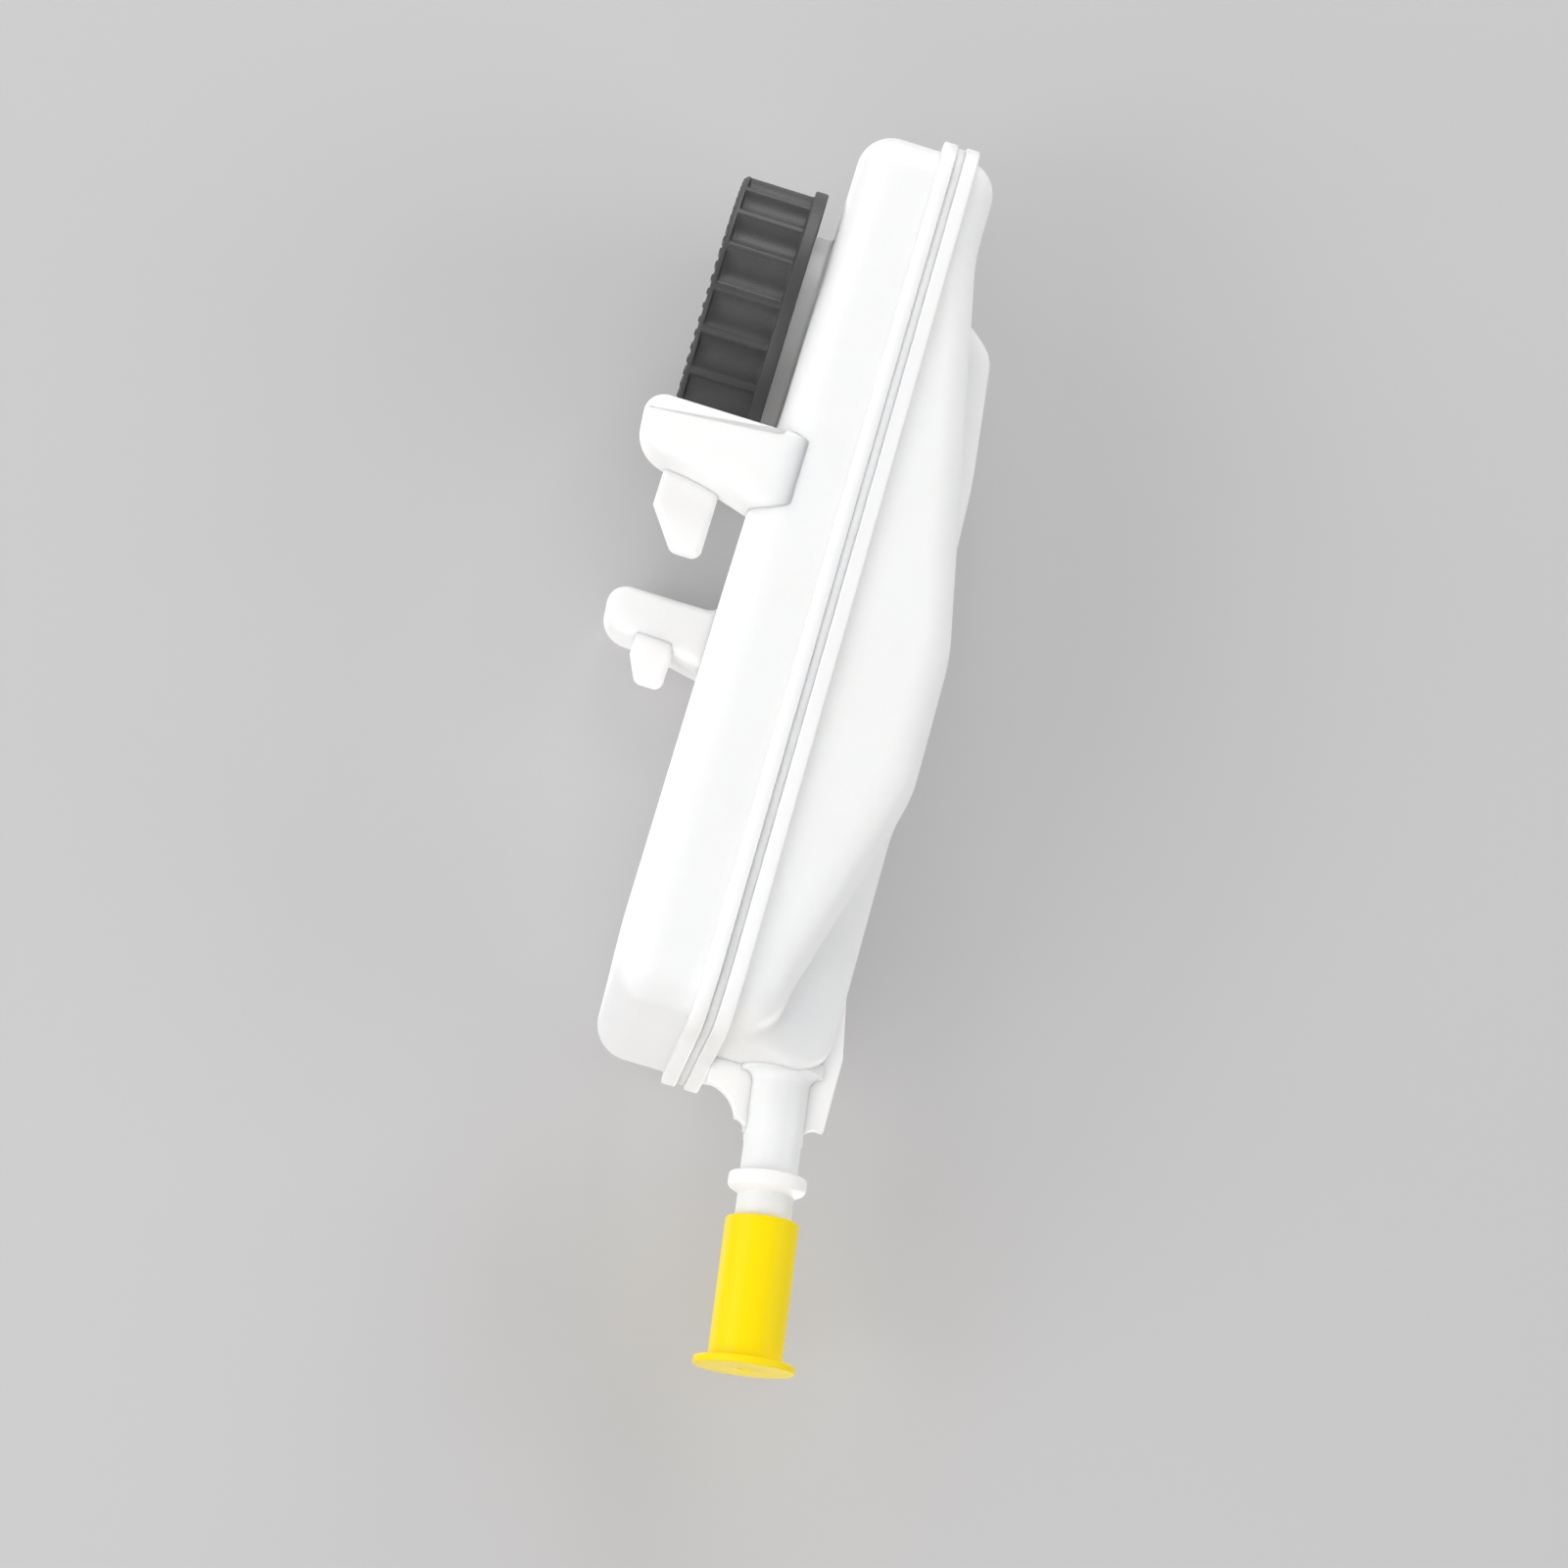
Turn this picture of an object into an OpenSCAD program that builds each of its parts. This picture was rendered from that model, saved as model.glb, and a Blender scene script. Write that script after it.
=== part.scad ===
// Brake fluid reservoir: a remote tank welded from two translucent mouldings, with a screw cap on a
// filler neck, two hook ears that slide into a bracket, and a barbed hose spigot under a slip-on plug.
// Millimetres, +Z up. The origin is the centre of the filler neck's mouth. The tank runs along X,
// with the spigot towards -X, and the near side, which carries the taller ear, towards -Y.

/* [Tank] */
// Length over the end walls
tank_l = 180; // [165:1:200]
// Width over the side walls
tank_w = 61; // [58:1:72]
// Height of the upper moulding above the weld
upper_h = 18.5; // [16:0.5:26]
// Wall thickness of both mouldings
wall = 2.2; // [1.6:0.1:2.8]
// Corner radius of the tank seen from above
plan_r = 9; // [7:0.5:12]
// Radius of the long edges
edge_r = 6.8; // [5:0.2:7.4]
// From the neck's axis to the cap-end wall
neck_to_end = 35; // [32:0.5:40]

/* [Weld flange] */
// Thickness of each lip
lip_t = 2.7; // [2:0.1:3.4]
// How far the lips stand out of the wall
lip_out = 2.2; // [1.6:0.1:3]
// Groove between the lips, where the weld is pressed
weld_groove = 1.7; // [1.2:0.1:2.4]
// How far the squeezed-out bead stands out of the wall
bead_out = 1.2; // [0.8:0.1:1.5]
// Clearance between the bead and the mouldings
bead_gap = 0.1; // [0.05:0.05:0.2]

/* [Belly] */
// Depth below the weld at the cap end
shallow_d = 8.6; // [8.2:0.2:11]
// Depth of the belly
belly_d = 23.9; // [22.5:0.1:27]
// From the neck's axis to where the near side starts to slope, towards the cap end
slope_from = 14; // [10:1:16]
// From the neck's axis to where the belly is at its depth, towards the spigot
belly_from = 67; // [60:1:75]
// From the neck's axis to where the belly starts to rise
belly_to = 95; // [90:1:100]
// Depth at the spigot end
ramp_d = 12; // [10:0.5:14]
// From the spigot-end wall back to where the rise ends
ramp_end = 8; // [6:1:12]
// Depth of the pocket on the far side, beside the neck
pocket_d = 21.8; // [18:0.2:22]
// From the neck's axis to the pocket's end, towards the cap end
pocket_reach = 26; // [22:1:27]
// Where the pocket's wall runs across the width
pocket_y = 6; // [4:1:10]

/* [Keel and fin] */
// Depth of the keel that leads to the spigot
keel_d = 23.4; // [22:0.1:24.4]
// Width of the keel's flat bottom
keel_w = 15; // [13:1:18]
// Width over which the keel runs out into the ramp on each side
keel_run = 10; // [8:1:13]
// Thickness of the fin below and above the spigot
fin_t = 2.6; // [2:0.2:4]
// Depth of the fin's lower edge
fin_d = 26.3; // [25.5:0.1:28]
// From the spigot-end wall back to where the fin leaves the keel
fin_back = 20; // [16:1:24]
// How far the fin's lower corner stands out of the spigot-end wall
fin_out = 8; // [7:0.2:9.4]
// How far the fin's upper corner stands out of the spigot-end wall
gusset_out = 9.9; // [9:0.1:10.6]
// Radius of the round bite between the upper corner and the lip
bite_r = 6.9; // [6:0.1:7.2]
// From the spigot-end wall to where the bite meets the lip
bite_at = 5.1; // [4:0.1:6]
// Fillet where the fin meets the spigot
fin_fillet = 2.2; // [1.4:0.1:2.6]

/* [Spigot] */
// Outer diameter of the bare stretch behind the barb, where the hose is clamped
spigot_od = 10.4; // [9.8:0.1:11.2]
// Outer diameter of the stretch past the barb
tip_od = 10.2; // [9.5:0.1:11]
// Outer diameter of the root, inside the fin
root_od = 10.8; // [10.4:0.1:11.8]
// Length of the root from the end wall
root_l = 12.6; // [12.4:0.1:13.4]
// Bore of the spigot
spigot_bore = 7; // [5:0.2:7.6]
// Depth of the spigot's axis below the weld, at the spigot-end wall
spigot_z = 16.3; // [15.5:0.1:16.8]
// Angle of the spigot below the horizontal
spigot_tilt = 8; // [4:0.5:10]
// Length of the spigot from the end wall to its tip
spigot_l = 49; // [42:0.5:55]
// From the end wall to the barb's shoulder
barb_at = 19; // [15:0.5:21]
// Diameter over the barb
barb_od = 14.2; // [12.5:0.1:15]
// Length of the barb's straight rim
barb_rim = 1.2; // [0.8:0.1:1.6]
// Length of the barb's taper
barb_taper = 2.2; // [1.6:0.1:3]

/* [Filler neck] */
// Radius of the neck's narrow foot
foot_r = 19.8; // [19:0.1:20.8]
// Radius of the neck where the thread is
neck_r = 21.7; // [21.2:0.1:22]
// Height of the mouth above the tank's top
neck_h = 16.3; // [14:0.1:20]
// Height of the narrow foot
foot_h = 3.9; // [3:0.1:5]
// Bore of the foot, a radius
foot_bore_r = 16.8; // [16:0.1:17.4]
// Bore above the strainer's shelf, a radius
mouth_bore_r = 19.2; // [18.6:0.1:19.6]
// Depth of the strainer's shelf below the mouth
shelf_depth = 9.6; // [8.5:0.1:10.5]
// Fillet where the neck meets the tank
foot_fillet = 0.8; // [0.4:0.1:1.2]

/* [Hook ears] */
// Length of the near ear along the tank
ear_l = 14.7; // [13:0.1:16]
// Width of each ear
ear_w = 10; // [8.5:0.5:11]
// From the neck's axis to the near ear
ear_x = 35.3; // [34:0.1:40]
// Height of the near ear above the tank
ear_h = 24.5; // [22:0.5:28]
// Length of the far ear along the tank
far_ear_l = 10.6; // [9.6:0.1:14]
// From the neck's axis to the far ear
far_ear_x = 52; // [48:0.5:56]
// Height of the far ear above the tank
far_ear_h = 22.2; // [20:0.1:24]
// Wall of the hollow ears
ear_wall = 2.3; // [1.8:0.1:2.8]
// Fillet at the foot of the ears
ear_fillet = 2.6; // [1.5:0.1:3.5]
// Clear height below the tongues, for the bracket
hook_gap = 6.8; // [5:0.1:8]
// Length of the near tongue
tongue_l = 12.4; // [10:0.1:14]
// Height of the near tongue at its root
tongue_h = 11.1; // [9:0.1:12]
// Length of the far tongue
far_tongue_l = 9.8; // [8:0.1:12]
// Height of the far tongue at its root
far_tongue_h = 8; // [7:0.1:9]
// Height of the tongues at their tips
tongue_tip_h = 5.5; // [4.5:0.1:6]
// Thickness of the tongues
tongue_t = 3; // [2.4:0.1:3.6]
// Length of the tongues before they taper
tongue_straight = 3.6; // [2:0.1:5]

/* [Filler cap] */
// Diameter over the lands between the flutes
cap_d = 54; // [52:0.5:58]
// Diameter of the flange at the cap's foot
cap_flange_d = 56.4; // [54.8:0.2:60]
// Thickness of the flange
cap_flange_t = 2.6; // [2:0.1:3.2]
// Number of flutes
flutes = 20; // [12:1:24]
// Depth of the flutes
flute_depth = 1.6; // [1:0.1:1.9]
// Width of a land between two flutes
land_w = 1.5; // [1:0.1:2.4]
// Height of the plain rim above the flutes
cap_rim_h = 0.9; // [0.6:0.1:1.6]
// Thickness of the cap's top
cap_top_t = 2.2; // [1.6:0.1:3]
// Clearance round the neck's thread
thread_gap = 1.6; // [1.3:0.1:1.8]
// Height of the cap's foot above the tank
cap_lift_off = 3.5; // [2.5:0.1:4.5]
// Number of raised bars round the cap's top
cap_bars = 60; // [24:2:72]
// Height of the raised bars
bar_h = 0.3; // [0.2:0.05:0.5]

/* [Diaphragm] */
// Thickness of the sealing ring
seal_t = 1.4; // [1:0.1:2]
// Thickness of the bellows wall
bellows_t = 1; // [0.8:0.1:1.4]
// Radius of the bellows at its folds
bellows_r = 15.4; // [14:0.1:15.6]
// Depth of one fold, inwards
fold_in = 2.2; // [1.5:0.1:3]
// Number of folds
folds = 3; // [2:1:4]
// Height of one fold
fold_h = 3.6; // [3:0.1:4]
// Clearance between the parts that seat on each other
seat_gap = 0.05; // [0.02:0.01:0.1]

/* [Strainer] */
// Thickness of the strainer's rim
strainer_rim_t = 1.4; // [1:0.1:2]
// Thickness of the basket's wall
basket_t = 1; // [0.8:0.1:1.4]
// Depth of the basket below its shelf
basket_h = 18; // [14:0.5:22]
// Clearance of the basket in the neck's foot
basket_gap = 0.3; // [0.2:0.1:0.6]
// Number of windows round the basket
windows = 12; // [8:1:16]
// Width of the bars between the windows
window_bar = 2; // [1.4:0.1:3]
// Width of the slots in the basket's floor
floor_slot = 1.6; // [1.2:0.1:2]

/* [Outlet plug] */
// Outer diameter of the plug
plug_d = 13.3; // [12.4:0.1:14.5]
// Diameter of the plug's flange
plug_flange_d = 18.2; // [16:0.1:20]
// Thickness of the plug's flange
plug_flange_t = 1.4; // [1:0.1:2]
// From the spigot-end wall to the plug's open end
plug_at = 26.7; // [25:0.1:28]
// From the spigot's tip to the plug's outer face
plug_past_tip = 4.2; // [3.2:0.1:6]
// Clearance of the plug on the spigot
plug_gap = 0.05; // [0.03:0.01:0.1]

/* [Hidden] */
$fn = 96;
overlap = 1;

top_z = -neck_h;
weld_z = top_z - upper_h;
x_cap_end = neck_to_end;
x_spigot_end = neck_to_end - tank_l;
half_w = tank_w / 2;
corner_steps = 7;
corner_min = 0.8;
cap_foot_z = top_z + cap_lift_off;
cap_ceiling_z = seal_t + 2 * seat_gap;
cap_top_z = cap_ceiling_z + cap_top_t;
cap_bore_r = neck_r + thread_gap;

// Points of an arc about c, from angle a0 to a1
function arc(c, r, a0, a1, steps) =
    [for (i = [0:steps]) let (a = a0 + (a1 - a0) * i / steps) [c.x + r * cos(a), c.y + r * sin(a)]];

// Smooth step from 0 at a to 1 at b
function ease(v, a, b) = let (u = min(1, max(0, (v - a) / (b - a)))) u * u * (3 - 2 * u);

// One closed solid through rings of equally many points, each ring a flat outline that runs
// counterclockwise as seen from the next one
module loft(rings) {
    n = len(rings[0]);
    last = len(rings) - 1;
    sides = [for (k = [0:last - 1], i = [0:n - 1]) let (j = (i + 1) % n)
        each [[k * n + i, (k + 1) * n + j, k * n + j], [k * n + i, (k + 1) * n + i, (k + 1) * n + j]]];
    ends = [[for (i = [0:n - 1]) i], [for (i = [n - 1:-1:0]) last * n + i]];
    polyhedron(points = [for (ring = rings) each ring], faces = concat(sides, ends), convexity = 8);
}

// The tank's outline from above, moved inwards by inset, at height z
function plan_ring(inset, z) =
    let (r = max(corner_min, plan_r - inset),
        xs = [x_cap_end - inset - r, x_spigot_end + inset + r],
        y = half_w - inset - r)
    [for (c = [[xs[0], y, 0], [xs[1], y, 90], [xs[1], -y, 180], [xs[0], -y, 270]])
        each [for (p = arc([c[0], c[1]], r, c[2], c[2] + 90, corner_steps)) [p.x, p.y, z]]];

// Upper moulding as a solid: straight walls, then the rounded top edge
module upper_form(inset, foot) {
    r = edge_r - inset;
    crest = weld_z + upper_h - inset;
    loft(concat([[for (p = plan_ring(inset, foot)) [p.x, p.y, p.z]]],
        [for (i = [0:corner_steps]) let (a = 90 * i / corner_steps)
            plan_ring(inset + r * (1 - cos(a)), crest - r + r * sin(a))]));
}

// Depth of the near side below the weld, along the tank
near_depth = [[x_spigot_end, ramp_d], [x_spigot_end + ramp_end, ramp_d], [-belly_to, belly_d],
    [-belly_from, belly_d], [slope_from, shallow_d], [x_cap_end, shallow_d]];
// Depth of the far side, with the pocket beside the neck
pocket_slope = 4.5;
far_depth = [[x_spigot_end, ramp_d], [x_spigot_end + ramp_end, ramp_d], [-belly_to, belly_d],
    [-belly_from, belly_d], [pocket_reach - pocket_slope, pocket_d], [pocket_reach + 1, shallow_d + 1],
    [pocket_reach + pocket_slope, shallow_d], [x_cap_end, shallow_d]];
bend = 1.2;
bends = 2;
pocket_wall = 8;
keel_from = 12;

// A depth read from a table, with its bends rounded over a short length
function bent(x, table) =
    let (v = [for (k = [-bends:bends]) lookup(x + k * bend, table)]) (v * [for (k = v) 1]) / len(v);

// Depth below the weld at a place on the tank's underside
function depth(x, y) =
    let (side = bent(x, near_depth) + (bent(x, far_depth) - bent(x, near_depth))
            * ease(y, pocket_y - pocket_wall / 2, pocket_y + pocket_wall / 2),
        keel = ease(keel_w / 2 + keel_run - abs(y), 0, keel_run) * ease(-x, belly_to - keel_from, belly_to))
    side + max(0, keel_d - side) * keel;

// Half the tank's width at a station, with the plan's corners rounded
function half_at(x, inset) =
    let (r = plan_r - inset, u = min(x - x_spigot_end, x_cap_end - x) - inset)
    half_w - inset - (u < r ? r - sqrt(max(0, r * r - (r - u) * (r - u))) : 0);

// How far round the rounded bottom edge a station reaches: 90 degrees away from the ends
least_turn = 3;
function edge_turn(x, inset) =
    let (r = edge_r - inset, u = min(x - x_spigot_end, x_cap_end - x) - inset)
    max(least_turn, acos(1 - min(1, max(0, u / r))));

// Section of the lower moulding across the tank, from the weld down one side and up the other
across = 20;
belly_steps = 5;
function belly_row(x, inset) =
    let (r = edge_r - inset, b = half_at(x, inset), turn = edge_turn(x, inset),
        side = [for (i = [0:belly_steps]) let (a = turn * i / belly_steps)
            [half_at(x, inset + r * (1 - cos(a))), r * (1 - sin(a))]],
        edge = side[belly_steps],
        flat = [for (i = [1:across - 1]) [edge[0] * (2 * i / across - 1), edge[1]]],
        row = concat([for (p = side) [-p[0], p[1]]], flat, [for (i = [belly_steps:-1:0]) side[i]]))
    concat([[x, -b, weld_z]],
        [for (p = row) [x, p[0], weld_z - depth(x, p[0]) + inset + p[1]]], [[x, b, weld_z]]);

// Stations along the tank: at the rounded ends, at each bend and through the pocket's wall
end_turns = [for (i = [0:belly_steps]) 1 - cos(90 * i / belly_steps)];
ramp_steps = 8;
pocket_steps = 5;
function stations(inset) =
    let (r = plan_r - inset, a = x_spigot_end + inset, b = x_cap_end - inset, k = bends * bend,
        first = x_spigot_end + plan_r, last = x_cap_end - plan_r)
    concat([for (t = end_turns) a + r * t],
        [for (i = [1:ramp_steps - 1]) first + (-belly_to - k - first) * i / ramp_steps],
        [for (x = [-belly_to, -belly_from, -slope_from]) each [x - k, x, x + k]],
        [slope_from - k],
        [for (i = [0:pocket_steps - 1]) slope_from + k + (last - slope_from - k) * i / pocket_steps],
        [for (i = [belly_steps:-1:0]) b - r * end_turns[i]]);

// Faces of a surface through rows of n points, turned over where flip is true
function skin(n, rows, base, flip) =
    [for (k = [0:rows - 2], i = [0:n - 2])
        let (a = base + k * n + i, b = a + 1, c = a + n, d = c + 1)
        each (flip ? [[a, b, d], [a, d, c]] : [[a, d, b], [a, c, d]])];

// Fan of faces over an end row, from a point in the middle of the end
function end_fan(n, start, middle, flip) =
    [for (i = [0:n - 1]) let (a = start + i, b = start + (i + 1) % n)
        flip ? [middle, b, a] : [middle, a, b]];

// The lower moulding's wall: an outer and an inner surface that meet in a flat rim at the weld
module belly_wall() {
    outer = [for (x = stations(0)) belly_row(x, 0)];
    inner = [for (x = stations(wall)) belly_row(x, wall)];
    n = len(outer[0]);
    rows = len(outer);
    far = (rows - 1) * n;
    base = rows * n;
    extra = 2 * base;
    middle = function (row) [row[0].x, half_w / 2, (row[0].z + row[floor(n / 4)].z) / 2];
    rim = [for (k = [0:rows - 2], end = [0, n - 1])
        let (a = k * n + end, b = a + n)
        each (end > 0 ? [[a, b + base, b], [a, a + base, b + base]] : [[a, b, b + base], [a, b + base, a + base]])];
    caps = [[0, base, base + n - 1], [0, base + n - 1, n - 1],
        [far, far + base + n - 1, far + base], [far, far + n - 1, far + base + n - 1]];
    polyhedron(
        points = concat([for (row = outer) each row], [for (row = inner) each row],
            [middle(outer[0]), middle(outer[rows - 1]), middle(inner[0]), middle(inner[rows - 1])]),
        faces = concat(skin(n, rows, 0, false), skin(n, rows, base, true), rim, caps,
            end_fan(n, 0, extra, false), end_fan(n, far, extra + 1, true),
            end_fan(n, base, extra + 2, true), end_fan(n, base + far, extra + 3, false)),
        convexity = 8);
}

// Flat plate with the tank's outline, standing out of the walls by out
module plan_plate(out, z, t) {
    r = plan_r + out;
    length = tank_l + 2 * out;
    width = tank_w + 2 * out;
    translate([(x_cap_end + x_spigot_end) / 2, 0, z + t / 2]) {
        cube([length - 2 * r, width, t], center = true);
        cube([length, width - 2 * r, t], center = true);
        for (sx = [-1, 1], sy = [-1, 1])
            translate([sx * (length / 2 - r), sy * (width / 2 - r), 0])
                cylinder(r = r, h = t, center = true);
    }
}

// Neck turned about its axis: narrow foot, shoulder, threaded part and the strainer's shelf
shoulder_h = 1.9;
mouth_round = 0.6;
module neck_solid() {
    rotate_extrude()
        polygon(concat([[0, top_z - wall / 2], [foot_r + foot_fillet, top_z - wall / 2]],
            arc([foot_r + foot_fillet, top_z + foot_fillet], foot_fillet, 270, 180, corner_steps),
            [[foot_r, top_z + foot_h], [neck_r, top_z + foot_h + shoulder_h]],
            arc([neck_r - mouth_round, -mouth_round], mouth_round, 0, 90, corner_steps),
            [[0, 0]]));
}

module neck_bore() {
    translate([0, 0, top_z - wall - overlap])
        cylinder(r = foot_bore_r, h = neck_h + wall + 2 * overlap);
    translate([0, 0, -shelf_depth])
        cylinder(r = mouth_bore_r, h = shelf_depth + overlap);
}

// Side view of an ear with its round head, from x = 0 towards the spigot
function ear_outline(length, height) =
    let (r = length / 2)
    concat([[-length, -edge_r], [0, -edge_r]], arc([-r, height - r], r, 0, 180, 4 * corner_steps));

// Side view of the fillets at an ear's foot
function foot_outline(length) =
    concat([[ear_fillet, -wall / 2], [ear_fillet, 0]],
        arc([ear_fillet, ear_fillet], ear_fillet, 270, 180, corner_steps),
        arc([-length - ear_fillet, ear_fillet], ear_fillet, 0, -90, corner_steps),
        [[-length - ear_fillet, -wall / 2]]);

// Side view of a tongue: straight, then tapered from above, with a rounded tip
tongue_round = 1.5;
function tongue_outline(length, height) =
    let (tip = -length, slant = atan2(height - tongue_tip_h, length - tongue_straight),
        r = tongue_round, c = [tip + r, tongue_tip_h - r * tan(45 - slant / 2)])
    concat([[overlap, 0]],
        arc([tip + r, r], r, 270, 180, corner_steps),
        arc(c, r, 180, 90 + slant, corner_steps),
        [[-tongue_straight, height], [overlap, height]]);

// One ear with its tongue: the outer face is flush with the side wall, the tongue is inboard
module ear(side, x, length, height, reach, root_h) {
    outer = side * half_w;
    inner = side * (half_w - ear_w);
    low = min(outer, inner);
    translate([-x, low, top_z]) {
        translate([0, ear_w, 0])
            rotate([90, 0, 0])
                linear_extrude(ear_w)
                    polygon(ear_outline(length, height));
        translate([0, side < 0 ? ear_w : ear_w - edge_r, 0])
            rotate([90, 0, 0])
                linear_extrude(ear_w - edge_r)
                    polygon(foot_outline(length));
        translate([-length, side < 0 ? ear_w : tongue_t, hook_gap])
            rotate([90, 0, 0])
                linear_extrude(tongue_t)
                    polygon(tongue_outline(reach, root_h));
    }
}

// The ear's hollow, open towards the cap
module ear_hollow(side, x, length, height) {
    depth_x = length - ear_wall;
    round_r = length / 2 - ear_wall;
    low_y = side > 0 ? half_w - ear_w : -half_w;
    translate([-x, low_y + ear_w - ear_wall, top_z]) {
        rotate([90, 0, 0])
            linear_extrude(ear_w - 2 * ear_wall) {
                translate([-depth_x, ear_fillet])
                    square([depth_x + ear_fillet + overlap, height - ear_fillet - ear_wall - round_r]);
                translate([-length / 2, height - ear_wall - round_r])
                    circle(round_r);
                translate([-length / 2, ear_fillet])
                    square([length / 2 + overlap, height - ear_fillet - ear_wall]);
            }
    }
}

module upper_shell() {
    color([0.95, 0.95, 0.94])
        difference() {
            union() {
                difference() {
                    union() {
                        upper_form(0, weld_z);
                        plan_plate(lip_out, weld_z + weld_groove / 2, lip_t);
                        ear(-1, ear_x, ear_l, ear_h, tongue_l, tongue_h);
                        ear(1, far_ear_x, far_ear_l, far_ear_h, far_tongue_l, far_tongue_h);
                    }
                    upper_form(wall, weld_z - overlap);
                    ear_hollow(-1, ear_x, ear_l, ear_h);
                    ear_hollow(1, far_ear_x, far_ear_l, far_ear_h);
                }
                neck_solid();
            }
            neck_bore();
        }
}

// Places its children on the spigot's axis: their +Z runs from the end wall to the tip
module on_spigot() {
    translate([x_spigot_end, 0, weld_z - spigot_z])
        rotate([0, -90 - spigot_tilt, 0])
            children();
}

// Fin in the tank's middle plane: below the keel and round the root of the spigot
fin_step = 6;
module fin() {
    x0 = x_spigot_end;
    half_tube = root_od / 2 / cos(spigot_tilt);
    axis_z = function (x) weld_z - spigot_z + (x - x0) * tan(spigot_tilt);
    lip_z = weld_z - weld_groove / 2 - lip_t;
    end = x0 - fin_out;
    below = axis_z(end) - half_tube;
    upper_end = x0 - gusset_out;
    above = axis_z(upper_end) + half_tube;
    bite_x = x0 - bite_at - bite_r;
    bite_from = acos((upper_end - bite_x) / bite_r);
    corner_z = lip_z - bite_r * sin(bite_from);
    top_fillet = min(fin_fillet, corner_z - above - overlap / 4);
    translate([0, fin_t / 2, 0])
        rotate([90, 0, 0])
            linear_extrude(fin_t)
                polygon(concat(
                    [[x0 + fin_back, weld_z - keel_d + wall / 2], [x0 + fin_back, weld_z - keel_d],
                        [x0 + fin_step, weld_z - fin_d], [end, weld_z - fin_d]],
                    arc([end - fin_fillet, below - fin_fillet], fin_fillet, 0, 90, corner_steps),
                    arc([upper_end - top_fillet, above + top_fillet], top_fillet, 270, 360, corner_steps),
                    arc([bite_x, lip_z], bite_r, 360 - bite_from, 360, 2 * corner_steps),
                    [[x0 + wall / 2, lip_z], [x0 + wall / 2, weld_z - keel_d + wall / 2]]));
}

// Spigot with its barb; its root reaches through the end wall by spigot_in
spigot_in = 4.5;
module spigot_solid() {
    on_spigot() {
        translate([0, 0, -spigot_in])
            cylinder(d = root_od, h = root_l + spigot_in);
        translate([0, 0, root_l - overlap])
            cylinder(d = spigot_od, h = barb_at - root_l + 2 * overlap);
        translate([0, 0, barb_at])
            cylinder(d = barb_od, h = barb_rim);
        translate([0, 0, barb_at + barb_rim])
            cylinder(d1 = barb_od, d2 = tip_od, h = barb_taper);
        translate([0, 0, barb_at])
            cylinder(d = tip_od, h = spigot_l - barb_at);
    }
}

module lower_shell() {
    color([0.94, 0.94, 0.93])
        difference() {
            union() {
                belly_wall();
                difference() {
                    plan_plate(lip_out, weld_z - weld_groove / 2 - lip_t, lip_t);
                    plan_plate(-wall / 2, weld_z - lip_t - weld_groove, lip_t + weld_groove);
                }
                fin();
                spigot_solid();
            }
            on_spigot()
                translate([0, 0, -spigot_in - overlap])
                    cylinder(d = spigot_bore, h = spigot_l + spigot_in + 2 * overlap);
        }
}

module weld_bead() {
    color([0.88, 0.86, 0.82])
        difference() {
            plan_plate(bead_out, weld_z - weld_groove / 2 + bead_gap, weld_groove - 2 * bead_gap);
            plan_plate(bead_gap, weld_z - weld_groove, 2 * weld_groove);
        }
}

// Basket that hangs in the neck by its rim, with windows round it and slots in its floor
module neck_strainer() {
    basket_r = foot_bore_r - basket_gap;
    rim_z = -shelf_depth + seat_gap;
    floor_z = -shelf_depth - basket_h;
    inner_r = basket_r - basket_t;
    frame_h = 3;
    window_h = (basket_h - 3 * frame_h) / 2;
    color([0.86, 0.87, 0.86])
        difference() {
            union() {
                translate([0, 0, rim_z])
                    cylinder(r = mouth_bore_r - basket_gap, h = strainer_rim_t);
                translate([0, 0, floor_z])
                    cylinder(r = basket_r, h = basket_h + strainer_rim_t);
            }
            translate([0, 0, floor_z + basket_t])
                cylinder(r = inner_r, h = basket_h + strainer_rim_t + overlap);
            for (i = [0:windows - 1], row = [0, 1])
                rotate(360 * i / windows)
                    translate([inner_r - overlap, 0, floor_z + frame_h + row * (window_h + frame_h)])
                        translate([0, window_bar / 2 - PI * inner_r / windows, 0])
                            cube([basket_t + 2 * overlap, 2 * PI * inner_r / windows - window_bar, window_h]);
            slots = floor(inner_r / (2 * floor_slot));
            for (k = [-slots + 1:slots - 1])
                let (y = 2 * k * floor_slot, reach = sqrt(pow(inner_r - overlap, 2) - y * y))
                    translate([-reach, y - floor_slot / 2, floor_z - overlap])
                        cube([2 * reach, floor_slot, basket_t + 2 * overlap]);
        }
}

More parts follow.
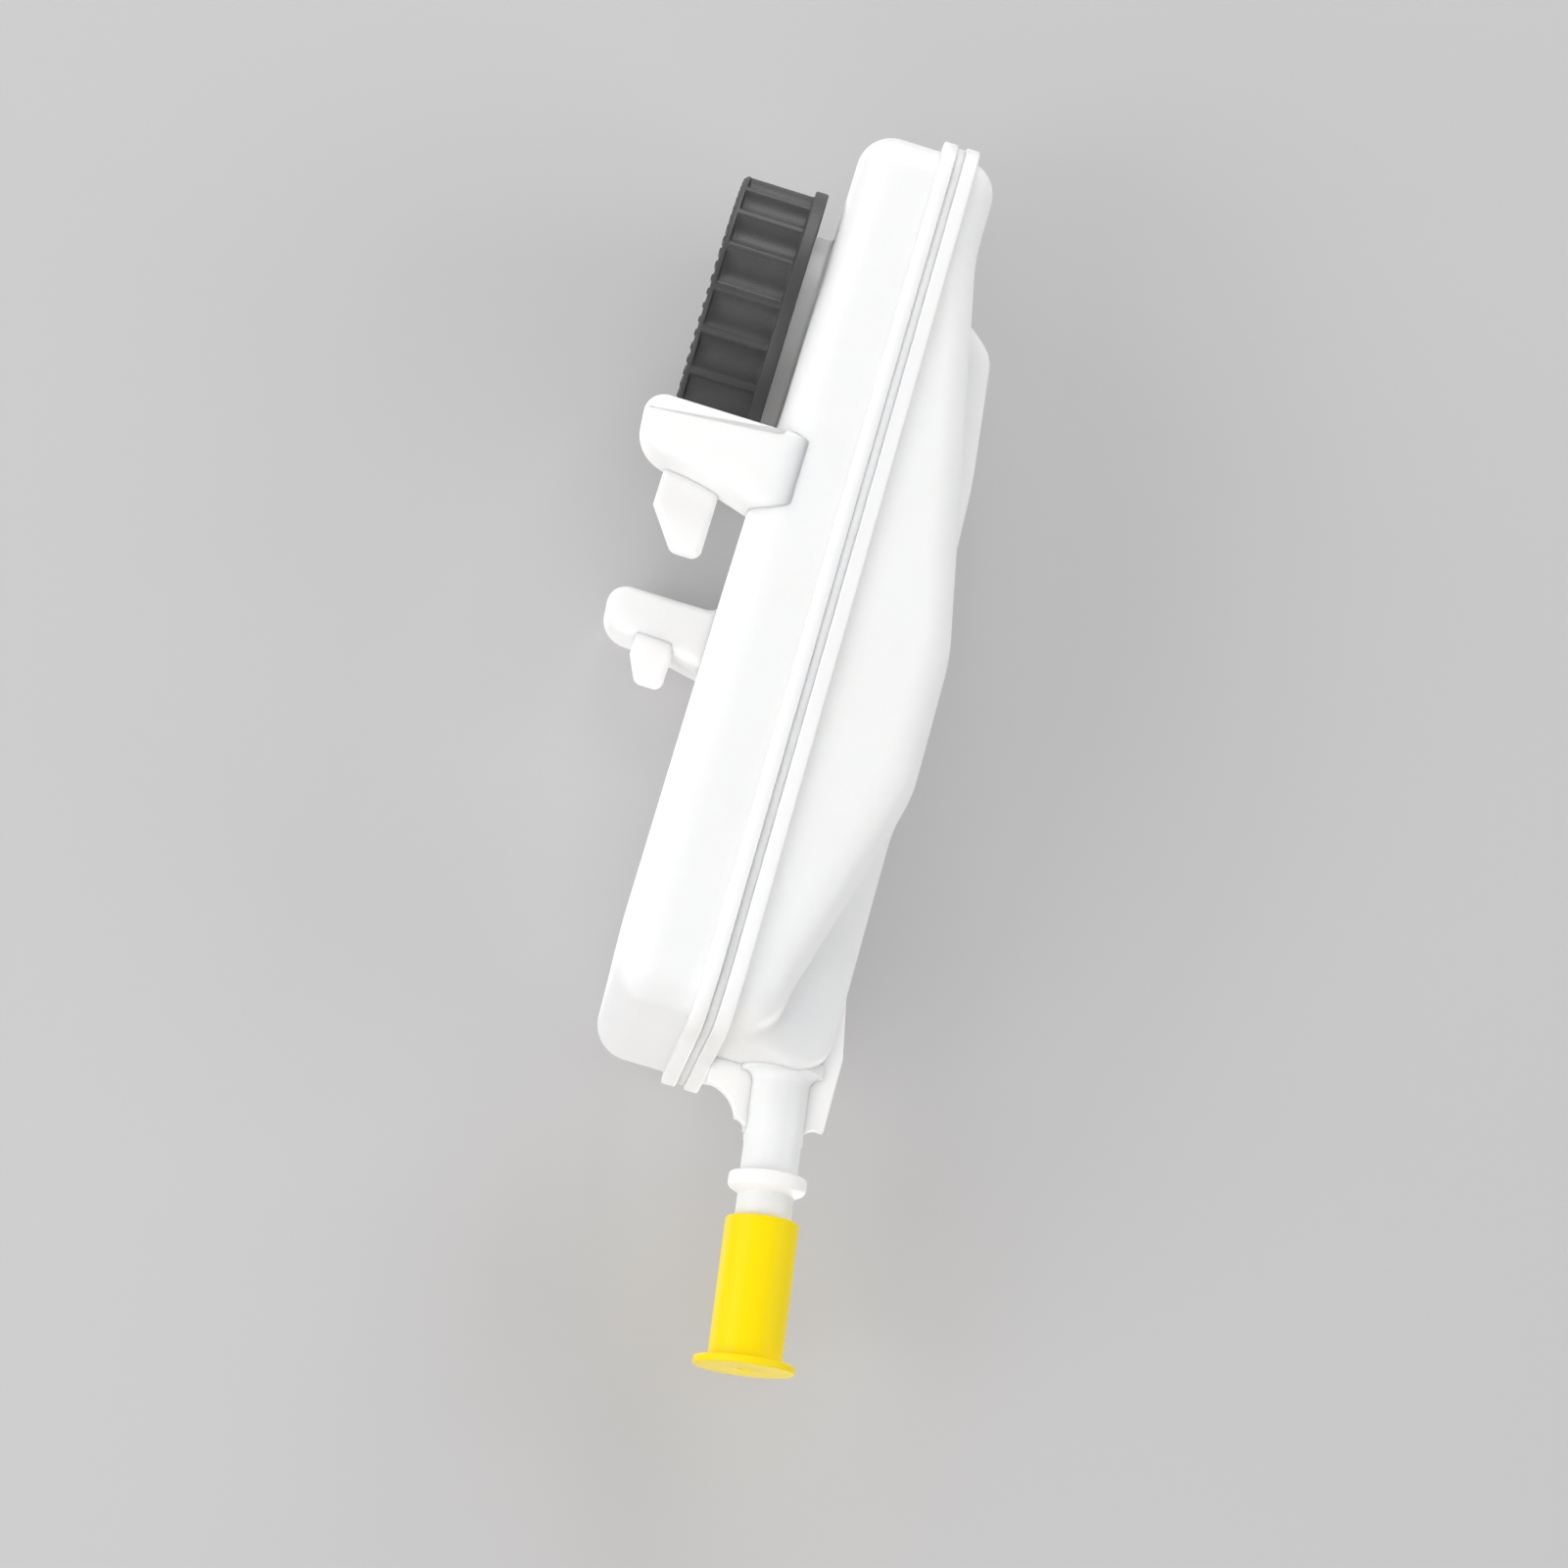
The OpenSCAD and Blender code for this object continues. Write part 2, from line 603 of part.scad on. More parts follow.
// Screw cap: fluted wall between the foot's flange and a plain rim, hollow below its top
module filler_cap() {
    pitch = PI * cap_d / flutes;
    half_chord = (pitch - land_w) / 2;
    cutter_r = (half_chord * half_chord + flute_depth * flute_depth) / (2 * flute_depth);
    flute_z = cap_foot_z + cap_flange_t;
    rim_z = cap_top_z - cap_rim_h;
    rim_r = cap_d / 2 - cap_rim_h / 2;
    bar_l = 2.2;
    bar_w = 1.1;
    color([0.16, 0.16, 0.17])
        difference() {
            union() {
                translate([0, 0, cap_foot_z])
                    cylinder(d = cap_flange_d, h = cap_flange_t);
                translate([0, 0, flute_z - overlap])
                    linear_extrude(rim_z - flute_z + overlap)
                        difference() {
                            circle(d = cap_d);
                            for (i = [0:flutes - 1])
                                rotate(360 * (i + 0.5) / flutes)
                                    translate([cap_d / 2 - flute_depth + cutter_r, 0])
                                        circle(cutter_r);
                        }
                translate([0, 0, rim_z])
                    cylinder(r1 = cap_d / 2, r2 = rim_r, h = cap_rim_h);
                for (i = [0:cap_bars - 1])
                    rotate(360 * i / cap_bars)
                        translate([rim_r - bar_l - bar_h, -bar_w / 2, cap_top_z - bar_h])
                            cube([bar_l, bar_w, 2 * bar_h]);
            }
            translate([0, 0, cap_foot_z - overlap])
                cylinder(r = cap_bore_r, h = cap_ceiling_z - cap_foot_z + overlap);
        }
}

// Rubber seal: a flat ring on the neck's mouth, with a folded bellows that hangs inside the neck
module cap_diaphragm() {
    ring_r = cap_bore_r - basket_gap;
    ring_z = seat_gap;
    crease = bellows_r - fold_in;
    fall = folds * fold_h;
    outer = [for (i = [0:folds - 1])
        each [[bellows_r, -i * fold_h], [crease, -(i + 0.5) * fold_h]]];
    inner = [for (i = [folds - 1:-1:0])
        each [[crease - bellows_t, -(i + 0.5) * fold_h], [bellows_r - bellows_t, -i * fold_h]]];
    color([0.10, 0.10, 0.11])
        translate([0, 0, ring_z])
            rotate_extrude()
                polygon(concat([[bellows_r - bellows_t, seal_t], [ring_r, seal_t], [ring_r, 0]],
                    outer, [[bellows_r, -fall], [0, -fall], [0, bellows_t - fall],
                        [bellows_r - 2 * bellows_t, bellows_t - fall]], inner));
}

// Slip-on cover for the spigot: a closed sleeve with a flat flange to pull it by
module outlet_plug() {
    length = spigot_l + plug_past_tip - plug_at;
    bore = tip_od + 2 * plug_gap;
    dimple_r = 1.2;
    dimple_depth = 0.5;
    lead = 0.4;
    end_wall = 2;
    color([0.98, 0.87, 0.02])
        on_spigot()
            translate([0, 0, plug_at])
                difference() {
                    union() {
                        cylinder(d = plug_d, h = length);
                        translate([0, 0, length - plug_flange_t])
                            cylinder(d = plug_flange_d, h = plug_flange_t);
                    }
                    translate([0, 0, -overlap])
                        cylinder(d = bore, h = length - end_wall + overlap);
                    translate([0, 0, -lead])
                        cylinder(d1 = bore + 4 * lead, d2 = bore, h = 2 * lead);
                    translate([0, 0, length - dimple_depth])
                        cylinder(r = dimple_r, h = 2 * dimple_depth);
                }
}

upper_shell();
lower_shell();
weld_bead();
neck_strainer();
filler_cap();
cap_diaphragm();
outlet_plug();
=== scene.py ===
import math
import bmesh
import bpy
import numpy as np
from mathutils import Matrix, Vector


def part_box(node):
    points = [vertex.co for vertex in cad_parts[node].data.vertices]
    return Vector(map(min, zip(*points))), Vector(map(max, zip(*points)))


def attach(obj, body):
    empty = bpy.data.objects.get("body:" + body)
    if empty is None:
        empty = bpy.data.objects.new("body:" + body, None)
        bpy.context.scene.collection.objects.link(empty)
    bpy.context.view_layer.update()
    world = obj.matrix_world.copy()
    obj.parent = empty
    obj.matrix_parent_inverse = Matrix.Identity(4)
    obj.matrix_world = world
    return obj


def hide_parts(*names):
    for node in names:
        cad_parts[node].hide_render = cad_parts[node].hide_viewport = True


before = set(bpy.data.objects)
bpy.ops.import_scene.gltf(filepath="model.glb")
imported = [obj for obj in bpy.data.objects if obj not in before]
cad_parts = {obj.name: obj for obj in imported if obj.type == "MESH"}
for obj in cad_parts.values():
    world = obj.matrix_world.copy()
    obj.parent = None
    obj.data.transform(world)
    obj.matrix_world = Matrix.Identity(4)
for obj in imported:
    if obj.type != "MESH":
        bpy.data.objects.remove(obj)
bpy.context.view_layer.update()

# Upper moulding of the tank: natural polypropylene, moulded in one shot with the filler neck and the two
# hook ears. Its straight walls end in a welding lip, and the top edge is rounded all the way round.
# Sizes are in millimetres, and each mesh is made in metres.
MM = 0.001
upper_low, upper_high = (np.array(corner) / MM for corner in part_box("upper_shell"))
LIP_OUT = 2.2
LIP_T = 2.7
GROOVE = 1.7
WALL = 2.2
PLAN_R = 9.0
EDGE_R = 6.8
UPPER_H = 18.5
CAP_END = upper_high[0] - LIP_OUT
SPIGOT_END = upper_low[0] + LIP_OUT
HALF_W = upper_high[1] - LIP_OUT
WELD_Z = upper_low[2]
TOP_Z = WELD_Z + UPPER_H
MIDDLE_X = (CAP_END + SPIGOT_END) / 2
HALF_L = (CAP_END - SPIGOT_END) / 2
CORNER_STEPS = 12
LONG_STEPS = 110
SHORT_STEPS = 36


def arc(cx, cy, r, start, end, steps):
    """Points of an arc about (cx, cy): centre plus r times cosine and sine of evenly spaced angles."""
    a = np.radians(np.linspace(start, end, steps + 1))
    return np.stack([cx + r * np.cos(a), cy + r * np.sin(a)], 1)


def outline(inset):
    """The tank seen from above, moved inwards by inset: four quarter circles joined by straight sides."""
    r = max(PLAN_R - inset, 0.0)
    hx = HALF_L - inset - r
    hy = HALF_W - inset - r
    rows = []
    for sx, sy, start, steps in ((1, 1, 0, LONG_STEPS), (-1, 1, 90, SHORT_STEPS),
                                 (-1, -1, 180, LONG_STEPS), (1, -1, 270, SHORT_STEPS)):
        corner = arc(sx * hx, sy * hy, r, start, start + 90, CORNER_STEPS)
        along = np.linspace(0, 1, steps + 1)[1:-1, None]
        following = {0: (-hx, hy + r), 90: (-hx - r, -hy), 180: (hx, -hy - r), 270: (hx + r, hy)}[start]
        rows += [corner, corner[-1] + along * (np.array(following) - corner[-1])]
    return np.concatenate(rows) + [MIDDLE_X, 0]


def tank_ring(inset, z):
    """The outline at one inset, at one height or at a height for each point."""
    flat = outline(inset)
    return np.column_stack([flat, np.broadcast_to(z, len(flat))])


def grid(points, closed=False, capped=False):
    """Quads between neighbouring points of rings of equal length, with the last ring joined to the first
    where closed is true, or the two end rings filled where capped is true."""
    rows, columns = points.shape[:2]
    i, j = np.meshgrid(np.arange(rows if closed else rows - 1), np.arange(columns), indexing="ij")
    below = ((i + 1) % rows) * columns
    right = (j + 1) % columns
    quads = np.stack([i * columns + j, i * columns + right, below + right, below + j], -1).reshape(-1, 4)
    faces = quads.tolist()
    if capped:
        last = (rows - 1) * columns
        faces += [list(range(columns - 1, -1, -1)), list(range(last, last + columns))]
    return points.reshape(-1, 3), faces


def object_from(name, parts, crease=35.0):
    """One mesh of closed parts in millimetres: doubled points are merged, and a part whose faces enclose
    a negative volume is turned over, so that every face points outwards."""
    whole = bmesh.new()
    for points, faces in parts:
        mesh = bpy.data.meshes.new(name)
        mesh.from_pydata((points * MM).tolist(), [], faces)
        part = bmesh.new()
        part.from_mesh(mesh)
        bmesh.ops.remove_doubles(part, verts=part.verts, dist=2e-6)
        if part.calc_volume(signed=True) < 0:
            bmesh.ops.reverse_faces(part, faces=part.faces)
        part.to_mesh(mesh)
        part.free()
        whole.from_mesh(mesh)
        bpy.data.meshes.remove(mesh)
    mesh = bpy.data.meshes.new(name)
    whole.to_mesh(mesh)
    whole.free()
    mesh.shade_smooth()
    mesh.set_sharp_from_angle(angle=math.radians(crease))
    thing = bpy.data.objects.new(name, mesh)
    bpy.context.scene.collection.objects.link(thing)
    return thing


def dress(thing, material, body, slot, *nodes):
    """Gives a finished piece its material and its body, and hides the solids that it stands for; slot is not
    used.
    """
    thing.data.materials.clear()
    thing.data.materials.append(material)
    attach(thing, body)
    if nodes:
        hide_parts(*nodes)


def moulded_group():
    """Shared surface of moulded plastic: a broad cloud and a fine grain, both from noise on object
    coordinates in metres, given out as a mask and as a height."""
    group = bpy.data.node_groups.new("moulded surface", "ShaderNodeTree")
    for name, low in (("Cloud scale", 20.0), ("Grain scale", 1500.0), ("Grain share", 0.2)):
        socket = group.interface.new_socket(name=name, in_out="INPUT", socket_type="NodeSocketFloat")
        socket.default_value = low
    for name in ("Cloud", "Height"):
        group.interface.new_socket(name=name, in_out="OUTPUT", socket_type="NodeSocketFloat")
    nodes, links = group.nodes, group.links
    given = nodes.new("NodeGroupInput")
    result = nodes.new("NodeGroupOutput")
    place = nodes.new("ShaderNodeTexCoord")
    noises = []
    for socket in ("Cloud scale", "Grain scale"):
        noise = nodes.new("ShaderNodeTexNoise")
        noise.inputs["Detail"].default_value = 3.0
        links.new(place.outputs["Object"], noise.inputs["Vector"])
        links.new(given.outputs[socket], noise.inputs["Scale"])
        noises.append(noise)
    mix = nodes.new("ShaderNodeMix")
    links.new(given.outputs["Grain share"], mix.inputs["Factor"])
    links.new(noises[0].outputs["Fac"], mix.inputs["A"])
    links.new(noises[1].outputs["Fac"], mix.inputs["B"])
    links.new(mix.outputs["Result"], result.inputs["Height"])
    links.new(noises[0].outputs["Fac"], result.inputs["Cloud"])
    return group


MOULDED = moulded_group()


def plastic(name, dark, light, rough, cloud, grain, share, bump, **plain):
    """A moulded plastic: its colour and roughness drift with the cloud, its bump is the group's height, and
    what is the same all over goes straight on the shader's sockets."""
    material = bpy.data.materials.new(name)
    material.use_nodes = True
    nodes, links = material.node_tree.nodes, material.node_tree.links
    shader = nodes["Principled BSDF"]
    for socket, value in plain.items():
        shader.inputs[socket.replace("_", " ").title().replace("Ior", "IOR")].default_value = value
    surface = nodes.new("ShaderNodeGroup")
    surface.node_tree = MOULDED
    for socket, value in (("Cloud scale", cloud), ("Grain scale", grain), ("Grain share", share)):
        surface.inputs[socket].default_value = value
    colours = nodes.new("ShaderNodeMix")
    colours.data_type = "RGBA"
    colours.inputs[6].default_value = (*dark, 1)
    colours.inputs[7].default_value = (*light, 1)
    links.new(surface.outputs["Cloud"], colours.inputs[0])
    links.new(colours.outputs[2], shader.inputs["Base Color"])
    sheen = nodes.new("ShaderNodeMapRange")
    sheen.inputs["To Min"].default_value = rough[0]
    sheen.inputs["To Max"].default_value = rough[1]
    links.new(surface.outputs["Cloud"], sheen.inputs["Value"])
    links.new(sheen.outputs["Result"], shader.inputs["Roughness"])
    relief = nodes.new("ShaderNodeBump")
    relief.inputs["Distance"].default_value = bump * MM
    links.new(surface.outputs["Height"], relief.inputs["Height"])
    links.new(relief.outputs["Normal"], shader.inputs["Normal"])
    return material


MILKY = {"subsurface_weight": 0.9, "subsurface_radius": (1.0, 0.93, 0.88), "subsurface_scale": 2.5 * MM}
TANK_PLASTIC = plastic(
    "natural polypropylene", (0.90, 0.893, 0.885), (0.94, 0.937, 0.929), (0.30, 0.42),
    cloud=60, grain=900, share=0.15, bump=0.25, **MILKY)

# The filler neck is part of the upper moulding. Its rings run from its foot up to the mouth, down past the
# strainer's shelf and out again under the tank's top. Its outer wall carries one raised thread for the cap.
FOOT_R = 19.8
NECK_R = 21.7
FOOT_H = 3.9
SHOULDER_H = 1.9
FOOT_FILLET = 0.8
MOUTH_R = 19.2
FOOT_BORE_R = 16.8
SHELF_Z = -9.6
ROUND = 0.35
LIP_ROOT = 0.5
MOUTH_EDGE = 0.6
BORE_EDGE = 0.4
NECK_ROWS = 60
THREAD_PITCH = 3.6
THREAD_H = 1.0
THREAD_TURNS = 1.7
THREAD_START = -8.6
THREAD_HALF = 0.95
THREAD_SLOPE = 0.45
THREAD_FADE = 1 / 8


def thread(angle, z):
    """Height of the raised thread at an angle and height: a ridge with sloped sides along the helix
    start + pitch * turns, faded out over the last eighth of a turn at both ends."""
    turn = angle / (2 * math.pi)
    k = np.round((z - THREAD_START) / THREAD_PITCH - turn)
    turns = turn + k
    away = np.abs(z - THREAD_START - THREAD_PITCH * turns)
    ends = np.clip(np.minimum(turns, THREAD_TURNS - turns) / THREAD_FADE, 0, 1)
    return THREAD_H * np.clip((THREAD_HALF - away) / THREAD_SLOPE, 0, 1) * ends


BETWEEN = (0.25, 0.5, 0.75)
lip_base = GROOVE / 2
lip_top = lip_base + LIP_T
crest = UPPER_H
outside = np.concatenate([
    [[0, 0], [0, lip_base]],
    arc(LIP_OUT - ROUND, lip_base + ROUND, ROUND, -90, 0, 3),
    arc(LIP_OUT - ROUND, lip_top - ROUND, ROUND, 0, 90, 3),
    arc(LIP_ROOT, lip_top + LIP_ROOT, LIP_ROOT, 270, 180, 4),
    arc(-EDGE_R, crest - EDGE_R, EDGE_R, 0, 90, 16)])
inner_r = EDGE_R - WALL
inside = np.concatenate([
    arc(-EDGE_R, crest - EDGE_R, inner_r, 90, 0, 8),
    [[-WALL, 0]]])
upper_rings = [tank_ring(-out, WELD_Z + z) for out, z in outside]
start = upper_rings[-1]
angles = np.arctan2(start[:, 1], start[:, 0])
circle = np.column_stack([np.cos(angles), np.sin(angles)])
neck_profile = np.concatenate([
    arc(FOOT_R + FOOT_FILLET, TOP_Z + FOOT_FILLET, FOOT_FILLET, 270, 180, 5),
    [[FOOT_R, TOP_Z + FOOT_H]],
    np.column_stack([np.full(NECK_ROWS, NECK_R),
                     np.linspace(TOP_Z + FOOT_H + SHOULDER_H, -MOUTH_EDGE, NECK_ROWS)]),
    arc(NECK_R - MOUTH_EDGE, -MOUTH_EDGE, MOUTH_EDGE, 15, 90, 4),
    arc(MOUTH_R + BORE_EDGE, -BORE_EDGE, BORE_EDGE, 90, 180, 3),
    [[MOUTH_R, SHELF_Z], [FOOT_BORE_R, SHELF_Z], [FOOT_BORE_R, TOP_Z - WALL]]])
neck_rings = []
for r, z in neck_profile:
    outer = r + (thread(angles, z) if r == NECK_R else 0)
    neck_rings.append(np.column_stack([circle * np.broadcast_to(outer, len(angles))[:, None],
                                       np.full(len(angles), z)]))
for share in BETWEEN:
    upper_rings.append(start + share * (neck_rings[0] - start))
upper_rings += neck_rings
ceiling = tank_ring(EDGE_R, TOP_Z - WALL)
for share in BETWEEN:
    upper_rings.append(neck_rings[-1] + share * (ceiling - neck_rings[-1]))
upper_rings += [tank_ring(-out, WELD_Z + z) for out, z in inside]
CROWN = 0.9
CROWN_FROM = NECK_R + 3
CROWN_FULL = NECK_R + 30
CROWN_TO = SPIGOT_END + 4
CROWN_FALL = SPIGOT_END + 30


def ease(v, a, b):
    """Smooth step from 0 at a to 1 at b: three times the square less twice the cube of the share."""
    u = np.clip((v - a) / (b - a), 0, 1)
    return u * u * (3 - 2 * u)


def crowned(points):
    """The deck swells a little between the neck and the spigot end: the height grows by the crown times a
    smooth step from each end, and less down the rounded edge."""
    x, z = points[..., 0], points[..., 2]
    along = ease(-x, CROWN_FROM, CROWN_FULL) * ease(x, CROWN_TO, CROWN_FALL)
    points[..., 2] = z + CROWN * along * ease(z, TOP_Z - EDGE_R, TOP_Z) * (z < TOP_Z + FOOT_FILLET)
    return points


upper_tank = object_from("upper_tank", [grid(crowned(np.stack(upper_rings)), closed=True)])
dress(upper_tank, TANK_PLASTIC, "tank", "tank_plastic", "upper_shell")

# The two hook ears: hollow blocks flush with the side walls, each with a head that is rounder towards the
# spigot end, a back that widens to its foot, and a tongue. The hollow is open towards the cap.
EAR_W = 10.0
EAR_WALL = 2.3
EAR_ROUND = 1.5
EAR_SINK = 1.0
EAR_SKIN = 0.03
FRONT_R = 3.9
HOOK_GAP = 6.8
TONGUE_T = 3.0
TONGUE_TIP = 5.5
TONGUE_ROUND = 1.1
TIP_CORNER = 1.9
FLARE_POWER = 1.4
LEAST_FILLET = 0.05
HOLLOW_ROUND = 0.5
FACE_RIM = 0.3
EARS = {"near": {"side": -1, "x": 35.0, "head": 11.9, "flare": 4.0, "h": 24.5, "back_r": 8.0, "fillet": 0.4,
                 "root": 11.1, "taper": 53.6, "tip": 61.8},
        "far": {"side": 1, "x": 52.6, "head": 9.9, "flare": 2.7, "h": 22.2, "back_r": 5.8, "fillet": 3.0,
                "root": 8.0, "taper": 66.2, "tip": 71.8}}


def outward(side_view):
    """Unit normals of a closed outline, pointing out of it: its direction between neighbours, turned by a
    right angle away from the enclosed area."""
    ahead = np.roll(side_view, -1, 0) - np.roll(side_view, 1, 0)
    normal = np.stack([ahead[:, 1], -ahead[:, 0]], 1) / np.linalg.norm(ahead, axis=1)[:, None]
    following = np.roll(side_view, -1, 0)
    area = np.sum(side_view[:, 0] * following[:, 1] - following[:, 0] * side_view[:, 1])
    return normal * np.sign(area)


def across_plate(y0, y1, rounding, steps=5, fine=2, rim=FACE_RIM):
    """Where the rings of a plate lie between its faces and how far each is drawn in. Over the rounding the
    place moves by 1 - cosine and the inset by 1 - sine, and one more ring inside each face keeps it flat."""
    turns = np.radians(np.linspace(0, 90, steps + 1))
    shift = rounding * (1 - np.cos(turns))
    inset = rounding * (1 - np.sin(turns))
    middle = np.linspace(y0 + rounding, y1 - rounding, fine)[1:-1]
    widths = np.concatenate([[y0], y0 + shift, middle, y1 - shift[::-1], [y1]])
    edge = [rounding + rim]
    return widths, np.concatenate([edge, inset, 0 * middle, inset[::-1], edge])


def prism(side_view, y0, y1, rounding, rim=FACE_RIM):
    """A plate between two planes across the width, with rounded edges all the way round its side view."""
    normal = outward(side_view)
    rings = []
    for y, step in zip(*across_plate(y0, y1, rounding, rim=rim)):
        ring = side_view - normal * step
        rings.append(np.column_stack([ring[:, 0], np.full(len(ring), y), ring[:, 1]]))
    return grid(np.stack(rings), capped=True)


def tank_drop(y):
    """How far the rounded long edge has fallen below the tank's top at a place across the width."""
    over = min(max(abs(y) - (HALF_W - EDGE_R), 0.0), EDGE_R)
    return EDGE_R - math.sqrt(EDGE_R ** 2 - over ** 2)


def ear_side(ear, fillet):
    """Side view of an ear: a foot with a fillet towards the cap, a straight front, a head of two unlike
    arcs, and a back that widens towards the foot by its flare times a power of the way down."""
    front, back = -ear["x"], -ear["x"] - ear["head"]
    top = TOP_Z + ear["h"]
    r = ear["back_r"]
    down = np.linspace(0, 1, 15)[1:]
    flank = np.column_stack([back - ear["flare"] * down ** FLARE_POWER, top - r - down * (ear["h"] - r)])
    rise = np.linspace(TOP_Z + fillet, top - FRONT_R, 12)[1:-1]
    return np.concatenate([
        [[front + fillet, TOP_Z - EAR_SINK]],
        arc(front + fillet, TOP_Z + fillet, fillet, 270, 180, 8),
        np.column_stack([np.full(len(rise), front), rise]),
        arc(front - FRONT_R, top - FRONT_R, FRONT_R, 0, 90, 14),
        arc(back + r, top - r, r, 90, 180, 20),
        flank,
        [[back - ear["flare"], TOP_Z - EAR_SINK]]])


def ear_block(ear):
    """An ear as rings of its side view from its inner to its outer face. The fillet shrinks where the
    tank's rounded edge falls away, and the lowest points lie just under the tank's skin."""
    rings = []
    for y, step in zip(*across_plate(HALF_W - EAR_W, HALF_W - EAR_SKIN, EAR_ROUND, fine=14)):
        fall = tank_drop(y)
        side = ear_side(ear, max(ear["fillet"] * (1 - fall / EDGE_R), LEAST_FILLET))
        ring = side - outward(side) * step
        ring[[0, -1], 0] = side[[0, -1], 0] + [-step, step]
        ring[[0, -1], 1] = TOP_Z - EAR_SINK - fall
        rings.append(np.column_stack([ring[:, 0], np.full(len(ring), ear["side"] * y), ring[:, 1]]))
    return grid(np.stack(rings), capped=True)


def tongue_side(ear):
    """Side view of a tongue: straight from inside the ear's back, then tapered from above to a rounded
    tip."""
    root = -ear["x"] - ear["head"] + EAR_WALL / 2
    taper, tip = -ear["taper"], -ear["tip"]
    low = TOP_Z + HOOK_GAP
    high = low + ear["root"]
    r = TIP_CORNER
    slant = math.degrees(math.atan2(ear["root"] - TONGUE_TIP, taper - tip))
    top = low + TONGUE_TIP - r * math.tan(math.radians(45 - slant / 2))
    return np.concatenate([
        [[root, low]],
        arc(tip + r, low + r, r, 270, 180, 8),
        arc(tip + r, top, r, 180, 90 + slant, 8),
        [[taper, high], [root, high]]])


def hollow_side(ear):
    """Side view of an ear's hollow: the head's and the back's outline drawn in by the wall, and open in
    front."""
    back = -ear["x"] - ear["head"] + EAR_WALL
    r = ear["back_r"] - EAR_WALL
    top = TOP_Z + ear["h"] - EAR_WALL
    floor = TOP_Z + EAR_WALL
    return np.concatenate([
        [[-ear["x"] + EAR_WALL, floor], [-ear["x"] + EAR_WALL, top]],
        arc(back + r, top - r, r, 90, 180, 12),
        [[back, floor]]])


def hollowed(body, cutter):
    """A mesh minus another, by an exact boolean whose result is kept as the mesh."""
    cut = body.modifiers.new("hollow", "BOOLEAN")
    cut.operation = "DIFFERENCE"
    cut.solver = "EXACT"
    cut.object = cutter
    bpy.context.view_layer.update()
    result = bpy.data.meshes.new_from_object(body.evaluated_get(bpy.context.evaluated_depsgraph_get()))
    body.modifiers.clear()
    body.data = result
    bpy.data.objects.remove(cutter)
    result.shade_smooth()
    result.set_sharp_from_angle(angle=math.radians(35))


for name, ear in EARS.items():
    outer, inner = ear["side"] * HALF_W, ear["side"] * (HALF_W - EAR_W)
    block = object_from(f"{name}_ear", [ear_block(ear)])
    between = sorted([outer - ear["side"] * EAR_WALL, inner + ear["side"] * EAR_WALL])
    core = object_from(f"{name}_core", [prism(hollow_side(ear), *between, HOLLOW_ROUND)])
    hollowed(block, core)
    dress(block, TANK_PLASTIC, "tank", "tank_plastic", "upper_shell")
    plate = sorted([inner, inner + ear["side"] * TONGUE_T])
    tongue = object_from(f"{name}_tongue", [prism(tongue_side(ear), *plate, TONGUE_ROUND)])
    dress(tongue, TANK_PLASTIC, "tank", "tank_plastic", "upper_shell")

# Lower moulding: the belly, whose depth runs along the tank from the shallow cap end to the middle and up the
# ramp to the spigot, with the deep pocket on the far side and the keel that leads to the spigot.
SHALLOW = 8.6
BELLY = 23.9
BELLY_FROM = -67.0
BELLY_TO = -95.0
SLOPE_FROM = 14.0
RAMP = 12.0
RAMP_END = 8.0
POCKET = 19.0
POCKET_REACH = 20.0
POCKET_FLOOR = (-15.0, 22.3)
POCKET_Y = 6.0
POCKET_WALL = 8.0
POCKET_SLOPE = 4.5
KEEL = 23.4
KEEL_W = 15.0
KEEL_RUN = 10.0
KEEL_FROM = 12.0
BEND = 1.2
UNDER_LIP = 0.1
LIP_INNER = 0.3
EDGE_RINGS = 15
INNER_FLOOR = 20
OUTER_FLOOR = 34
NEAR_SIDE = np.array([[SPIGOT_END, RAMP], [SPIGOT_END + RAMP_END, RAMP], [BELLY_TO, BELLY],
                      [BELLY_FROM, BELLY], [SLOPE_FROM, SHALLOW], [CAP_END, SHALLOW]])
FAR_SIDE = np.array([[SPIGOT_END, RAMP], [SPIGOT_END + RAMP_END, RAMP], [BELLY_TO, BELLY],
                     [BELLY_FROM, BELLY], POCKET_FLOOR, [POCKET_REACH - POCKET_SLOPE, POCKET],
                     [POCKET_REACH + 1, SHALLOW + 1], [POCKET_REACH + POCKET_SLOPE, SHALLOW],
                     [CAP_END, SHALLOW]])


def bent(x, table):
    """Depth read along a broken line, averaged over a short stretch so that its corners are rounded."""
    shifts = np.linspace(-3, 3, 13) * BEND
    return np.mean([np.interp(x + s, table[:, 0], table[:, 1]) for s in shifts], axis=0)


def depth(x, y):
    """Depth of the underside below the weld: the near line, eased into the far line across the pocket's
    wall, and lowered to the keel's depth in the middle of the ramp."""
    near = bent(x, NEAR_SIDE)
    across = ease(y, POCKET_Y - POCKET_WALL / 2, POCKET_Y + POCKET_WALL / 2)
    side = near + (bent(x, FAR_SIDE) - near) * across
    keel = ease(KEEL_W / 2 + KEEL_RUN - np.abs(y), 0, KEEL_RUN) * ease(-x, -BELLY_TO - KEEL_FROM, -BELLY_TO)
    return side + np.maximum(0, KEEL - side) * keel


